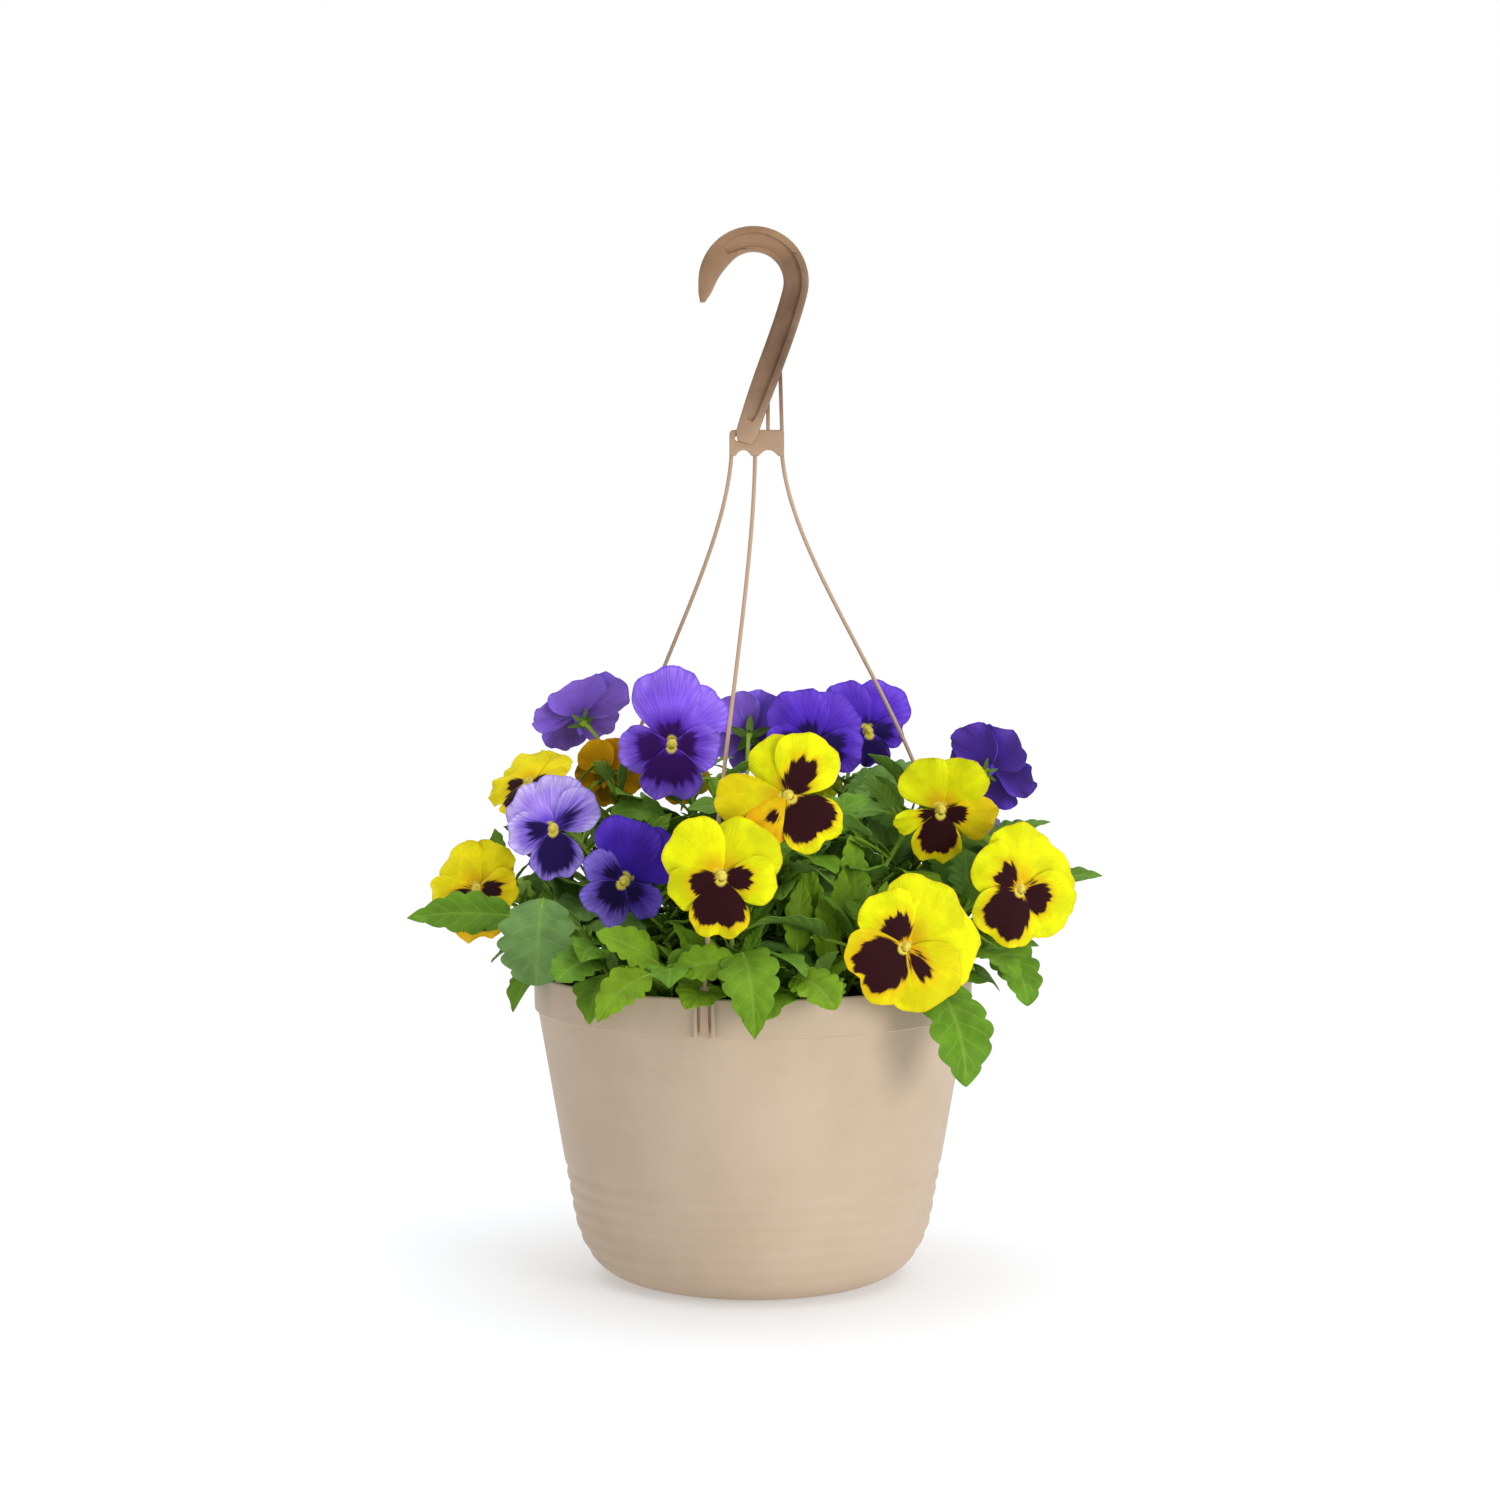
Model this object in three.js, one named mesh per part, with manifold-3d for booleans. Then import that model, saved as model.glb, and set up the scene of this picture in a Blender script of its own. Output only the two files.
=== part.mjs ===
// A hanging basket of pansies that stands on its own foot: a moulded pot, its
// one-piece hanger clipped to the rim, potting soil, leafy shoots that stand in
// the soil, and the violet and yellow blooms on them.
// Millimetres, +Z up. The origin is the centre of the pot's underside, and -Y is
// the basket's front. Azimuths are degrees anticlockwise from +X.
import * as THREE from "three";
import { mergeVertices } from "three/addons/utils/BufferGeometryUtils.js";
import Module from "manifold-3d";

const wasm = await Module();
wasm.setup();
const V = (x, y, z) => new THREE.Vector3(x, y, z);
const rad = THREE.MathUtils.degToRad;

// ---- Driving dimensions ----------------------------------------------------
const GAP = 0.35; // room left between pieces that rest on each other

const POT_HEIGHT = 178;
const RIM_RADIUS = 127;
const FOOT_RADIUS = 67;
const WALL = 2.4;
const BAND_HEIGHT = 21.5; // the thicker band under the rim
const BAND_STEP = 1.8; // how far the band stands proud of the wall
const POT_SIDES = 36;
const RIM_INNER = RIM_RADIUS - WALL - 0.6;
const SOIL_EDGE_Z = 158;
const SOIL_CROWN_Z = 163;

const ARM_AZIMUTHS = { front: -101.9, right: 18.1, left: 138.1 };
const CLIP_Z = 170; // height of the square snap slots in the band
const SLOT_HALF = 2.2;
const HUB_Z = 482;
const HOOK_CENTRE = [0.3, 573.8];
const HOOK_RADIUS = 24.4;
const HOOK_HALF_WIDTH = 7.2;
const HOOK_DEPTH = 8;
const ARM_RADIUS = 1.2;

const PETAL_THICKNESS = 0.9;
const LEAF_THICKNESS = 0.9;
const STEM_RADIUS = 1.4;

// ---- Seeded draw -------------------------------------------------------------
let seed = 20231;
function draw(low = 0, high = 1) {
  seed = (seed * 16807) % 2147483647;
  return low + ((high - low) * seed) / 2147483647;
}

// ---- Solids ------------------------------------------------------------------
function solidOf(geometry) {
  const plain = new THREE.BufferGeometry();
  const source = geometry.index ? geometry.toNonIndexed() : geometry;
  plain.setAttribute("position", source.getAttribute("position"));
  const merged = mergeVertices(plain, 1e-4);
  return new wasm.Manifold(
    new wasm.Mesh({
      numProp: 3,
      vertProperties: merged.attributes.position.array,
      triVerts: new Uint32Array(merged.index.array),
    }),
  );
}

function geometryOf(solid) {
  const mesh = solid.getMesh();
  return new THREE.BufferGeometry()
    .setAttribute("position", new THREE.BufferAttribute(mesh.vertProperties, 3))
    .setIndex(new THREE.BufferAttribute(mesh.triVerts, 1));
}

const join = (solids) => wasm.Manifold.union(solids);

// An upright lathe: the profile's points are (radius, height).
function turned(profile, sides) {
  return solidOf(new THREE.LatheGeometry(profile, sides).rotateX(Math.PI / 2));
}

// A flat shape drawn in the XZ plane, from y = -depth/2 to y = depth/2.
function flat(shape, depth, y = 0) {
  const slab = new THREE.ExtrudeGeometry(shape, {
    depth,
    bevelEnabled: false,
    curveSegments: 6,
  });
  return solidOf(slab.translate(0, 0, -depth / 2).rotateX(Math.PI / 2).translate(0, y, 0));
}

function block(low, high, azimuth) {
  const size = V(...high).sub(V(...low));
  const middle = V(...high).add(V(...low)).multiplyScalar(0.5);
  const box = new THREE.BoxGeometry(size.x, size.y, size.z);
  return solidOf(box.translate(middle.x, middle.y, middle.z).rotateZ(rad(azimuth)));
}

function tube(route, radius, sides, steps) {
  const section = new THREE.Shape(
    Array.from({ length: sides }, (_, i) => {
      const angle = (2 * Math.PI * i) / sides;
      return new THREE.Vector2(radius * Math.cos(angle), radius * Math.sin(angle));
    }),
  );
  const options = { steps, extrudePath: route, bevelEnabled: false };
  return solidOf(new THREE.ExtrudeGeometry(section, options));
}

// A closed surface put together point by point and face by face.
class Skin {
  points = [];
  faces = [];

  add(point) {
    return this.points.push(point) - 1;
  }

  face(...corners) {
    this.faces.push(...corners);
  }

  geometry() {
    const coordinates = this.points.flatMap((p) => p.toArray());
    return new THREE.BufferGeometry()
      .setAttribute("position", new THREE.Float32BufferAttribute(coordinates, 3))
      .setIndex(this.faces);
  }
}

// Adds a thin blade on surface(s, t), which lies between rows [s, [t, t, ...]]. Both
// faces are split alike. The foot is the blade's first row, left open on request:
// [under left, under right, top right, top left].
function addBlade(skin, surface, rows, thickness, openFoot = false) {
  const top = rows.map(([s, across]) =>
    across.map((t) => {
      const d = 1e-3;
      const along = surface(s + d, t).sub(surface(s - d, t));
      const side = surface(s, t + d).sub(surface(s, t - d));
      const half = along.cross(side).setLength(thickness / 2);
      const middle = surface(s, t);
      return [skin.add(middle.clone().add(half)), skin.add(middle.sub(half))];
    }),
  );
  const both = (a, b, c) => {
    skin.face(a[0], b[0], c[0]);
    skin.face(a[1], c[1], b[1]);
  };
  top.slice(1).forEach((far, r) => {
    const near = top[r];
    let [i, j] = [0, 0];
    while (i + 1 < near.length || j + 1 < far.length) {
      const nearNext = (i + 1) / (near.length - 1 || 0.1);
      const farNext = (j + 1) / (far.length - 1 || 0.1);
      if (nearNext < farNext) both(near[i], far[j], near[(i += 1)]);
      else both(near[i], far[j], far[(j += 1)]);
    }
  });
  const [first, last] = [top[0], top[top.length - 1]];
  const edge = [
    ...top.slice(0, -1).map((row) => row[0]),
    ...last,
    ...top.slice(0, -1).reverse().map((row) => row[row.length - 1]),
  ];
  if (!openFoot) edge.push(...first.slice(0, -1).reverse());
  edge.slice(1).forEach((b, i) => {
    const a = edge[i];
    if (a !== b) skin.face(a[1], b[1], b[0], a[1], b[0], a[0]);
  });
  const [left, right] = [first[0], first[first.length - 1]];
  return [left[1], right[1], right[0], left[0]];
}

function blade(surface, rows, thickness) {
  const skin = new Skin();
  addBlade(skin, surface, rows, thickness);
  return solidOf(skin.geometry());
}

// ---- Pot -----------------------------------------------------------------------
// The body's side from the foot up to the band: a rounded lower corner, then a
// straight taper. inset moves it inwards, for the inner wall and the soil.
const CORNER_TOP = [104, 36];
const WALL_TOP = [RIM_RADIUS - BAND_STEP - 0.5, POT_HEIGHT - BAND_HEIGHT];

function potSide(inset, divisions) {
  const [cornerR, cornerZ] = CORNER_TOP;
  const corner = new THREE.CubicBezierCurve(
    new THREE.Vector2(FOOT_RADIUS - inset / 2, inset),
    new THREE.Vector2(88 - inset / 2, 1 + inset),
    new THREE.Vector2(99 - inset, 14 + inset / 2),
    new THREE.Vector2(cornerR - inset, cornerZ),
  );
  return [...corner.getPoints(divisions), new THREE.Vector2(WALL_TOP[0] - inset, WALL_TOP[1])];
}

function pot() {
  const outside = potSide(0, 4);
  const inside = potSide(WALL, 3).reverse();
  const profile = [
    [0, 0],
    ...outside.map((p) => p.toArray()),
    [RIM_RADIUS - 0.4, WALL_TOP[1] + 0.2],
    [RIM_RADIUS, POT_HEIGHT - 1.2],
    [RIM_RADIUS - 1, POT_HEIGHT],
    [RIM_INNER, POT_HEIGHT],
    [RIM_INNER, WALL_TOP[1] + 4],
    ...inside.map((p) => p.toArray()),
    [0, WALL],
  ].map(([r, z]) => new THREE.Vector2(r, z));
  const body = turned(profile, POT_SIDES);

  // Two upright ribs beside each arm's clip, and the slot that the clip snaps into.
  const ribs = [];
  const slots = [];
  const ribFoot = WALL_TOP[1] + 0.6;
  for (const azimuth of Object.values(ARM_AZIMUTHS)) {
    for (const side of [-1, 1]) {
      const low = [RIM_RADIUS - 1.8, side * 4.9 - 1, ribFoot];
      const high = [RIM_RADIUS + 2.3, side * 4.9 + 1, POT_HEIGHT - 0.6];
      ribs.push(block(low, high, azimuth));
    }
    const low = [RIM_INNER - 4, -SLOT_HALF, CLIP_Z - SLOT_HALF];
    const high = [RIM_RADIUS + 4, SLOT_HALF, CLIP_Z + SLOT_HALF];
    slots.push(block(low, high, azimuth));
  }

  const drains = [];
  const drainCount = 6;
  for (let i = 0; i < drainCount; i += 1) {
    const angle = (2 * Math.PI * (i + 0.5)) / drainCount;
    const drain = new THREE.CylinderGeometry(4.5, 4.5, 12, 8).rotateX(Math.PI / 2);
    drains.push(solidOf(drain.translate(48 * Math.cos(angle), 48 * Math.sin(angle), 0)));
  }
  return join([body, ...ribs]).subtract(join([...slots, ...drains]));
}

// ---- Soil ------------------------------------------------------------------------
const STEM_HOLE_DEPTH = 20;

function soilHeight(radius) {
  const edge = RIM_RADIUS - WALL - 2;
  return SOIL_CROWN_Z - (SOIL_CROWN_Z - SOIL_EDGE_Z) * (radius / edge) ** 2;
}

function soil(feet) {
  const side = potSide(WALL + GAP + 0.5, 3);
  side[side.length - 1].setY(SOIL_EDGE_Z - 4);
  const crown = [118, 70, 0].map((r) => new THREE.Vector2(r, soilHeight(r)));
  const body = turned([new THREE.Vector2(0, side[0].y), ...side, ...crown], POT_SIDES / 2);
  const holes = feet.map(([x, y]) => {
    const half = STEM_RADIUS + 0.6;
    const bottom = soilHeight(Math.hypot(x, y)) - STEM_HOLE_DEPTH - GAP;
    return block([x - half, y - half, bottom], [x + half, y + half, bottom + 60], 0);
  });
  return body.subtract(join(holes));
}

// ---- Hanger ------------------------------------------------------------------------
// The hook's centreline, from its tip over the top and down the slanting shank.
function hookLine() {
  const [cx, cz] = HOOK_CENTRE;
  const tipAngle = rad(199.5);
  const shankAngle = rad(-14);
  const bow = new THREE.EllipseCurve(cx, cz, HOOK_RADIUS, HOOK_RADIUS, tipAngle, shankAngle, true);
  const start = bow.getPoint(1);
  const heading = new THREE.Vector2(Math.sin(shankAngle), -Math.cos(shankAngle));
  const shank = new THREE.CubicBezierCurve(
    start,
    start.clone().addScaledVector(heading, 26),
    new THREE.Vector2(3.5, HUB_Z + 30),
    new THREE.Vector2(-5.2, HUB_Z),
  );
  const line = new THREE.CurvePath();
  line.add(bow);
  line.add(shank);
  return line;
}

// The hook's outline between two shares of its length, margin inside its edge.
function hookShape(from, to, steps, margin) {
  const line = hookLine();
  const left = [];
  const right = [];
  for (let i = 0; i <= steps; i += 1) {
    const u = from + ((to - from) * i) / steps;
    const p = line.getPointAt(u);
    const ahead = line.getPointAt(Math.min(u + 0.004, 1));
    const behind = line.getPointAt(Math.max(u - 0.004, 0));
    const heading = ahead.sub(behind).normalize();
    const blunt = 2.6 + (HOOK_HALF_WIDTH - 2.6) * THREE.MathUtils.smoothstep(u, 0, 0.24);
    const half = blunt - 0.9 * THREE.MathUtils.smoothstep(u, 0.75, 1) - margin;
    const out = new THREE.Vector2(-heading.y, heading.x).multiplyScalar(half);
    left.push(p.clone().add(out));
    right.unshift(p.clone().sub(out));
  }
  return new THREE.Shape([...right, ...left]);
}

const ARM_ROOTS = { front: 1.2, right: 16.5, left: -12.2 };

// The plate under the hook that the arms leave from, arched between them.
function hubPlate() {
  const top = HUB_Z + 7.5;
  const foot = HUB_Z - 7.5;
  const { left, front, right } = ARM_ROOTS;
  const plate = new THREE.Shape();
  plate.moveTo(left - 1.4, foot);
  plate.lineTo(left + 2, foot);
  plate.quadraticCurveTo((left + front) / 2, foot + 7, front - 2, foot);
  plate.lineTo(front + 2, foot);
  plate.quadraticCurveTo((front + right) / 2, foot + 7, right - 2, foot);
  plate.lineTo(right + 1.4, foot);
  plate.lineTo(right + 1.4, top - 3);
  plate.quadraticCurveTo(right + 1.4, top, right - 1, top);
  plate.lineTo(left, top);
  plate.quadraticCurveTo(left - 1.4, top, left - 1.4, top - 3);
  const eye = new THREE.Path();
  eye.absarc(left + 3.4, HUB_Z + 2.6, 1.6, 0, 2 * Math.PI, true);
  plate.holes.push(eye);
  return flat(plate, 4.4);
}

function stay(x0, z0, x1, z1) {
  const half = 1.1;
  const corners = [
    [x0 - half, z0],
    [x0 + half, z0],
    [x1 + half, z1],
    [x1 - half, z1],
  ];
  return flat(new THREE.Shape(corners.map(([x, z]) => new THREE.Vector2(x, z))), 2.4);
}

const ARM_OUTER = RIM_RADIUS + GAP + 0.9; // centre of the arm's flat end

// An arm leaves the hub straight down, bows out and comes down upright on the rim.
function armRoute(name) {
  const azimuth = rad(ARM_AZIMUTHS[name]);
  const bowAzimuth = name === "front" ? rad(-99) : azimuth;
  const out = V(Math.cos(azimuth), Math.sin(azimuth), 0);
  const bow = V(Math.cos(bowAzimuth), Math.sin(bowAzimuth), 0);
  const root = ARM_ROOTS[name];
  return new THREE.CubicBezierCurve3(
    V(root, 0, HUB_Z - 4),
    V(root * 1.1, 0, 400).addScaledVector(out, 3),
    bow.multiplyScalar(ARM_OUTER - 3).setZ(306),
    out.clone().multiplyScalar(ARM_OUTER).setZ(POT_HEIGHT + 4),
  );
}

// The clip at an arm's end: a flat tab on the band, and a barbed peg through it.
function clip(azimuth) {
  const inner = RIM_INNER * Math.cos(Math.PI / POT_SIDES) - GAP;
  const outer = RIM_RADIUS + GAP;
  const half = SLOT_HALF - GAP;
  const [low, high] = [CLIP_Z - half, CLIP_Z + half];
  const tab = block([outer, -2.4, WALL_TOP[1] + 3], [outer + 1.8, 2.4, POT_HEIGHT + 7], azimuth);
  const shaft = block([inner - 1, -half, low], [outer + 1, half, high], azimuth);
  const barb = block([inner - 2, -SLOT_HALF - 0.7, low], [inner, SLOT_HALF + 0.7, high], azimuth);
  return join([tab, shaft, barb]);
}

function hanger() {
  const hook = flat(hookShape(0, 1, 24, 0), HOOK_DEPTH);
  const pocket = hookShape(0.14, 0.93, 16, 2.5);
  const pocketY = HOOK_DEPTH / 2;
  const pockets = [flat(pocket, 4.8, pocketY), flat(pocket, 4.8, -pocketY)];
  const stays = [stay(16.6, HUB_Z + 6, 15.6, HUB_Z + 41), stay(8.6, HUB_Z + 6, 8.6, HUB_Z + 27)];
  const arms = Object.keys(ARM_AZIMUTHS).map((name) => {
    const route = armRoute(name);
    return tube(route, ARM_RADIUS, 5, 13);
  });
  const clips = Object.values(ARM_AZIMUTHS).map(clip);
  return join([hook.subtract(join(pockets)), hubPlate(), ...stays, ...arms, ...clips]);
}

// ---- Blooms --------------------------------------------------------------------------
// Each bloom: [name, colour, eye of the face x, y, z, turn, tilt, roll, radius, tall].
// turn swings the face from the front towards +X, tilt lifts it, roll turns it
// anticlockwise, and tall stretches the two upper petals.
const BLOOMS = [
  ["v1", "violet", -103, 32, 323, -150, 32, 10, 30, 1.1],
  ["v2", "violet", -46, -25, 310, -8, 6, 2, 33, 1.25],
  ["v3", "violet", -1, 52, 311, 172, 8, 0, 28, 1.0],
  ["v4", "violet", 36, 30, 307, 4, 16, -4, 31, 1.12],
  ["v5", "violet", 68, 50, 313, 12, 10, 4, 30, 1.15],
  ["v6", "violet", 141, 38, 292, 142, 20, 10, 31, 1.0],
  ["v7", "violet", -112, -50, 264, -16, 10, -6, 32, 1.08],
  ["v8", "violet", -71, -80, 238, -8, -10, -28, 28, 1.25],
  ["y1", "yellow", -129, -5, 286, -38, 42, 12, 28, 1.0],
  ["y2", "yellow", -84, 14, 290, 165, 4, 0, 22, 1.0],
  ["y3", "yellow", -17, -136, 241, -4, 6, 0, 34, 1.05],
  ["y4", "yellow", 19, -117, 288, 8, 9, 32, 36, 1.0],
  ["y5", "yellow", 106, -40, 274, 6, -10, -4, 32, 1.15],
  ["y6", "yellow", 149, -62, 231, 20, 8, -34, 37, 1.0],
  ["y7", "yellow", 82, -121, 206, 14, 10, -55, 39, 1.05],
  ["y8", "yellow", -159, -18, 220, -28, 6, 12, 34, 1.0],
  ["y9", "yellow", -42, 26, 286, 190, 18, 0, 19, 1.0],
  ["v9", "violet", -118, 80, 248, -128, 18, 6, 29, 1.1],
  ["y10", "yellow", -67, 126, 221, -156, 14, -8, 31, 1.0],
  ["v10", "violet", -7, 134, 233, 186, 18, 4, 30, 1.1],
  ["y11", "yellow", 92, 114, 204, 144, 10, 10, 32, 1.0],
  ["v11", "violet", 150, 78, 232, 122, 16, -6, 29, 1.1],
  ["y12", "yellow", 28, 74, 282, 168, 38, 0, 28, 1.0],
];

// The face's own axes: right, up and the outward normal, as its viewer sees them.
function faceFrame([, , x, y, z, turn, tilt, roll]) {
  const [a, b, c] = [rad(turn), rad(tilt), rad(roll)];
  const normal = V(Math.sin(a) * Math.cos(b), -Math.cos(a) * Math.cos(b), Math.sin(b));
  const level = V(Math.cos(a), Math.sin(a), 0);
  const upright = normal.clone().cross(level);
  const right = level.clone().multiplyScalar(Math.cos(c)).addScaledVector(upright, Math.sin(c));
  const up = upright.multiplyScalar(Math.cos(c)).addScaledVector(level, -Math.sin(c));
  return { eye: V(x, y, z), right, up, normal };
}

const place = (f, a, b, c) =>
  f.eye.clone().addScaledVector(f.right, a).addScaledVector(f.up, b).addScaledVector(f.normal, c);

// Five petals, anticlockwise: the lower one lies over the two side ones, and they
// lie over the two upper ones. lean is how far a margin comes forward, as a share
// of the bloom's radius.
const EDGE = [-0.97, -0.78, -0.3, 0.3, 0.78, 0.97];
const NOTCHED_EDGE = [-0.96, -0.7, -0.24, 0, 0.24, 0.7, 0.96];
const PETALS = [
  { at: -10, reach: 0.93, half: 50, layer: 0.7, lean: 0, edge: EDGE },
  { at: 61, reach: 1.0, half: 58, layer: -1.9, lean: -0.12, tall: true, edge: EDGE },
  { at: 119, reach: 1.02, half: 58, layer: -0.6, lean: -0.06, tall: true, edge: EDGE },
  { at: 190, reach: 0.93, half: 50, layer: 0.7, lean: 0, edge: EDGE },
  { at: 270, reach: 0.9, half: 60, layer: 2.0, lean: 0.06, notch: 0.12, edge: NOTCHED_EDGE },
];
const CLAW = 0.5; // half width of a petal's narrow foot, as a share of the petal's

function petalSurface(frame, radius, tall, petal, phase) {
  return (s, t) => {
    const margin = (1 - Math.min(Math.abs(t), 0.999) ** 3) ** 0.42;
    const notch = 1 - (petal.notch || 0) * Math.exp(-((t / 0.16) ** 2));
    const out = s * petal.reach * (petal.tall ? tall : 1) * margin * notch;
    const angle = rad(petal.at + petal.half * t);
    const wave = 0.03 * Math.sin(4.6 * t + phase);
    const rise = petal.layer + radius * (petal.lean + wave) * out * out;
    return place(frame, radius * out * Math.cos(angle), radius * out * Math.sin(angle), rise);
  };
}

// The throat is a short five-sided core, one side to a petal, and each petal's foot
// is drawn straight out of its side. The core's back tapers into the spur.
const THROAT_APOTHEM = 4;
const THROAT_FRONT = 2.8;
const THROAT_BACK = -3.2;

function bloom(spec) {
  const [, , , , , , , , radius, tall] = spec;
  const frame = faceFrame(spec);
  const skin = new Skin();
  const count = PETALS.length;
  const ring = (depth) =>
    PETALS.map((petal, i) => {
      const next = i + 1 < count ? PETALS[i + 1].at : PETALS[0].at + 360;
      const r = THROAT_APOTHEM / Math.cos(rad(next - petal.at) / 2);
      const a = rad(petal.at + next) / 2;
      return skin.add(place(frame, r * Math.cos(a), r * Math.sin(a), depth));
    });
  const front = ring(THROAT_FRONT);
  const back = ring(THROAT_BACK);
  const eye = skin.add(place(frame, 0, 0, THROAT_FRONT + 0.8));
  const nape = skin.add(place(frame, 0, -1.2, THROAT_BACK));
  const spurTip = skin.add(place(frame, 0, -6, -11));
  PETALS.forEach((petal, i) => {
    const before = (i + count - 1) % count;
    const surface = petalSurface(frame, radius, tall, petal, draw(0, 6.28));
    const rows = [[0.3, [-CLAW, CLAW]], [1, petal.edge]];
    const foot = addBlade(skin, surface, rows, PETAL_THICKNESS, true);
    const side = [back[before], back[i], front[i], front[before]];
    foot.forEach((corner, k) => {
      const l = (k + 1) % 4;
      skin.face(side[k], side[l], foot[l], side[k], foot[l], corner);
    });
    skin.face(front[before], front[i], eye);
    if (i < count - 1) skin.face(back[i], back[before], nape);
  });
  const [left, right] = [back[count - 2], back[count - 1]];
  skin.face(nape, right, spurTip, right, left, spurTip, left, nape, spurTip);
  return skin.geometry();
}

// ---- Shoots ----------------------------------------------------------------------------
// A shoot's stem stands in the soil at its foot. A blooming one ends behind its
// bloom, and a leafy one at its top leaf. Each: [foot x, y, leaves grown by rule,
// and for a leafy shoot the top of its stem x, y, z].
const SHOOTS = {
  v1: [-42, 26, 3], v2: [-22, -14, 3], v3: [-4, 30, 2], v4: [22, 12, 3],
  v5: [40, 34, 3], v6: [76, 26, 3], v7: [-60, -28, 3], v8: [-42, -52, 3],
  v9: [-70, 50, 3], v10: [6, 84, 3], v11: [78, 56, 3],
  y1: [-70, -6, 3], y2: [-52, 6, 2], y3: [-10, -82, 3], y4: [14, -54, 4],
  y5: [52, -20, 4], y6: [86, -18, 3], y7: [48, -74, 3], y8: [-92, 6, 2],
  y9: [-18, 10, 1], y10: [-34, 74, 3], y11: [42, 74, 3], y12: [20, 50, 2],
  s1: [-88, -30, 1, -104, -36, 204], s2: [-74, -60, 1, -90, -74, 202],
  s3: [-44, -90, 1, -46, -98, 190], s4: [-8, -104, 1, -6, -110, 196],
  s5: [26, -98, 1, 26, -108, 186], s6: [76, -72, 1, 90, -84, 188],
  s7: [100, 6, 1, 120, 4, 208], s8: [68, -48, 2, 74, -50, 206],
  s9: [20, 102, 2, 22, 108, 190], s10: [-66, 80, 2, -74, 88, 192],
};

// Leaves that show at the basket's edge: [shoot, where the stalk leaves the stem,
// base of the blade x, y, z, azimuth, climb from, to, length, half width, roll].
const EDGE_LEAVES = [
  ["s1", 1, -136, -46, 214, 181, 8, -10, 60, 12, -60],
  ["s1", 0.8, -118, -22, 196, 178, 10, -50, 36, 11, 0],
  ["s2", 1, -117, -72, 227, 258, -55, -92, 50, 21, 0],
  ["s2", 0.8, -84, -96, 196, 228, 10, -40, 36, 12, -30],
  ["s3", 1, -52, -112, 196, 186, 38, 15, 38, 11, -50],
  ["s3", 0.8, -56, -120, 191, 214, -10, -60, 42, 11, -40],
  ["s4", 1, -6, -122, 203, -80, -5, -88, 54, 15, 12],
  ["s5", 1, 22, -124, 190, -50, 5, -50, 38, 12, 25],
  ["s5", 0.85, 38, -118, 189, -74, 0, -50, 26, 8, 0],
  ["s6", 1, 108, -92, 186, -62, -25, -92, 52, 17, 0],
  ["s6", 0.85, 122, -62, 194, -28, 15, -60, 34, 11, 10],
  ["y6", 0.62, 134, -40, 198, -40, -15, -88, 46, 14, 20],
  ["s7", 1, 156, -14, 226, -4, 25, -5, 46, 9, 35],
  ["v6", 0.72, 138, 14, 252, 8, 25, 5, 38, 9, 20],
];

function stemRoute([x, y], end, arrival) {
  const ground = soilHeight(Math.hypot(x, y));
  const start = V(x, y, ground);
  const rise = V(x, y, ground + 0.5 * Math.max(end.z - ground, 20));
  const route = new THREE.CurvePath();
  route.add(new THREE.LineCurve3(V(x, y, ground - STEM_HOLE_DEPTH), start));
  route.add(new THREE.CubicBezierCurve3(start, rise, end.clone().sub(arrival), end));
  return route;
}

// The calyx behind a bloom: five pointed sepals that thicken into the receptacle
// between them and leave room for the spur.
const RECEPTACLE = 7.5;
const SEPAL_ANGLES = [18, 90, 162, 232, 308];

function calyx(frame) {
  const centre = 0.6;
  const outline = SEPAL_ANGLES.flatMap((angle, i) => {
    const next = i < 4 ? SEPAL_ANGLES[i + 1] : SEPAL_ANGLES[0] + 360;
    return [
      [11.5, rad(angle)],
      [2.8, rad(angle + next) / 2],
    ];
  });
  const skin = new Skin();
  const ring = outline.map(([r, a]) =>
    skin.add(place(frame, r * Math.cos(a), centre + r * Math.sin(a), 1 - RECEPTACLE)),
  );
  const front = skin.add(place(frame, 0, centre, THROAT_BACK - GAP));
  const back = skin.add(place(frame, 0, centre, -RECEPTACLE - 1));
  ring.forEach((a, i) => {
    const b = ring[(i + 1) % ring.length];
    skin.face(a, b, front, b, a, back);
  });
  return solidOf(skin.geometry());
}

// A bend of given length in the upright plane at an azimuth: its climb changes
// evenly from one angle to the other.
function bend(start, azimuth, from, to, length) {
  const [a, b, c] = [rad(azimuth), rad(from), rad(to)];
  const k = Math.abs(c - b) < 1e-3 ? 1e-3 : c - b;
  return (u) => {
    const out = (length * (Math.sin(b + k * u) - Math.sin(b))) / k;
    const rise = (length * (Math.cos(b) - Math.cos(b + k * u))) / k;
    return V(start.x + Math.cos(a) * out, start.y + Math.sin(a) * out, start.z + rise);
  };
}

// A leaf: { root on the stem, base of the blade, azimuth, climb from and to,
// length, half width, roll about the midrib, blunt teeth on each edge }.
// On its surface s runs along the stalk from -1 to 0 and along the blade from 0 to
// 1, and t runs across from edge to edge.
const LEAF_FOLD = 0.24;
const STALK_HALF = 1.1;
const toothStep = (leaf) => 0.42 / leaf.teeth;

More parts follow.
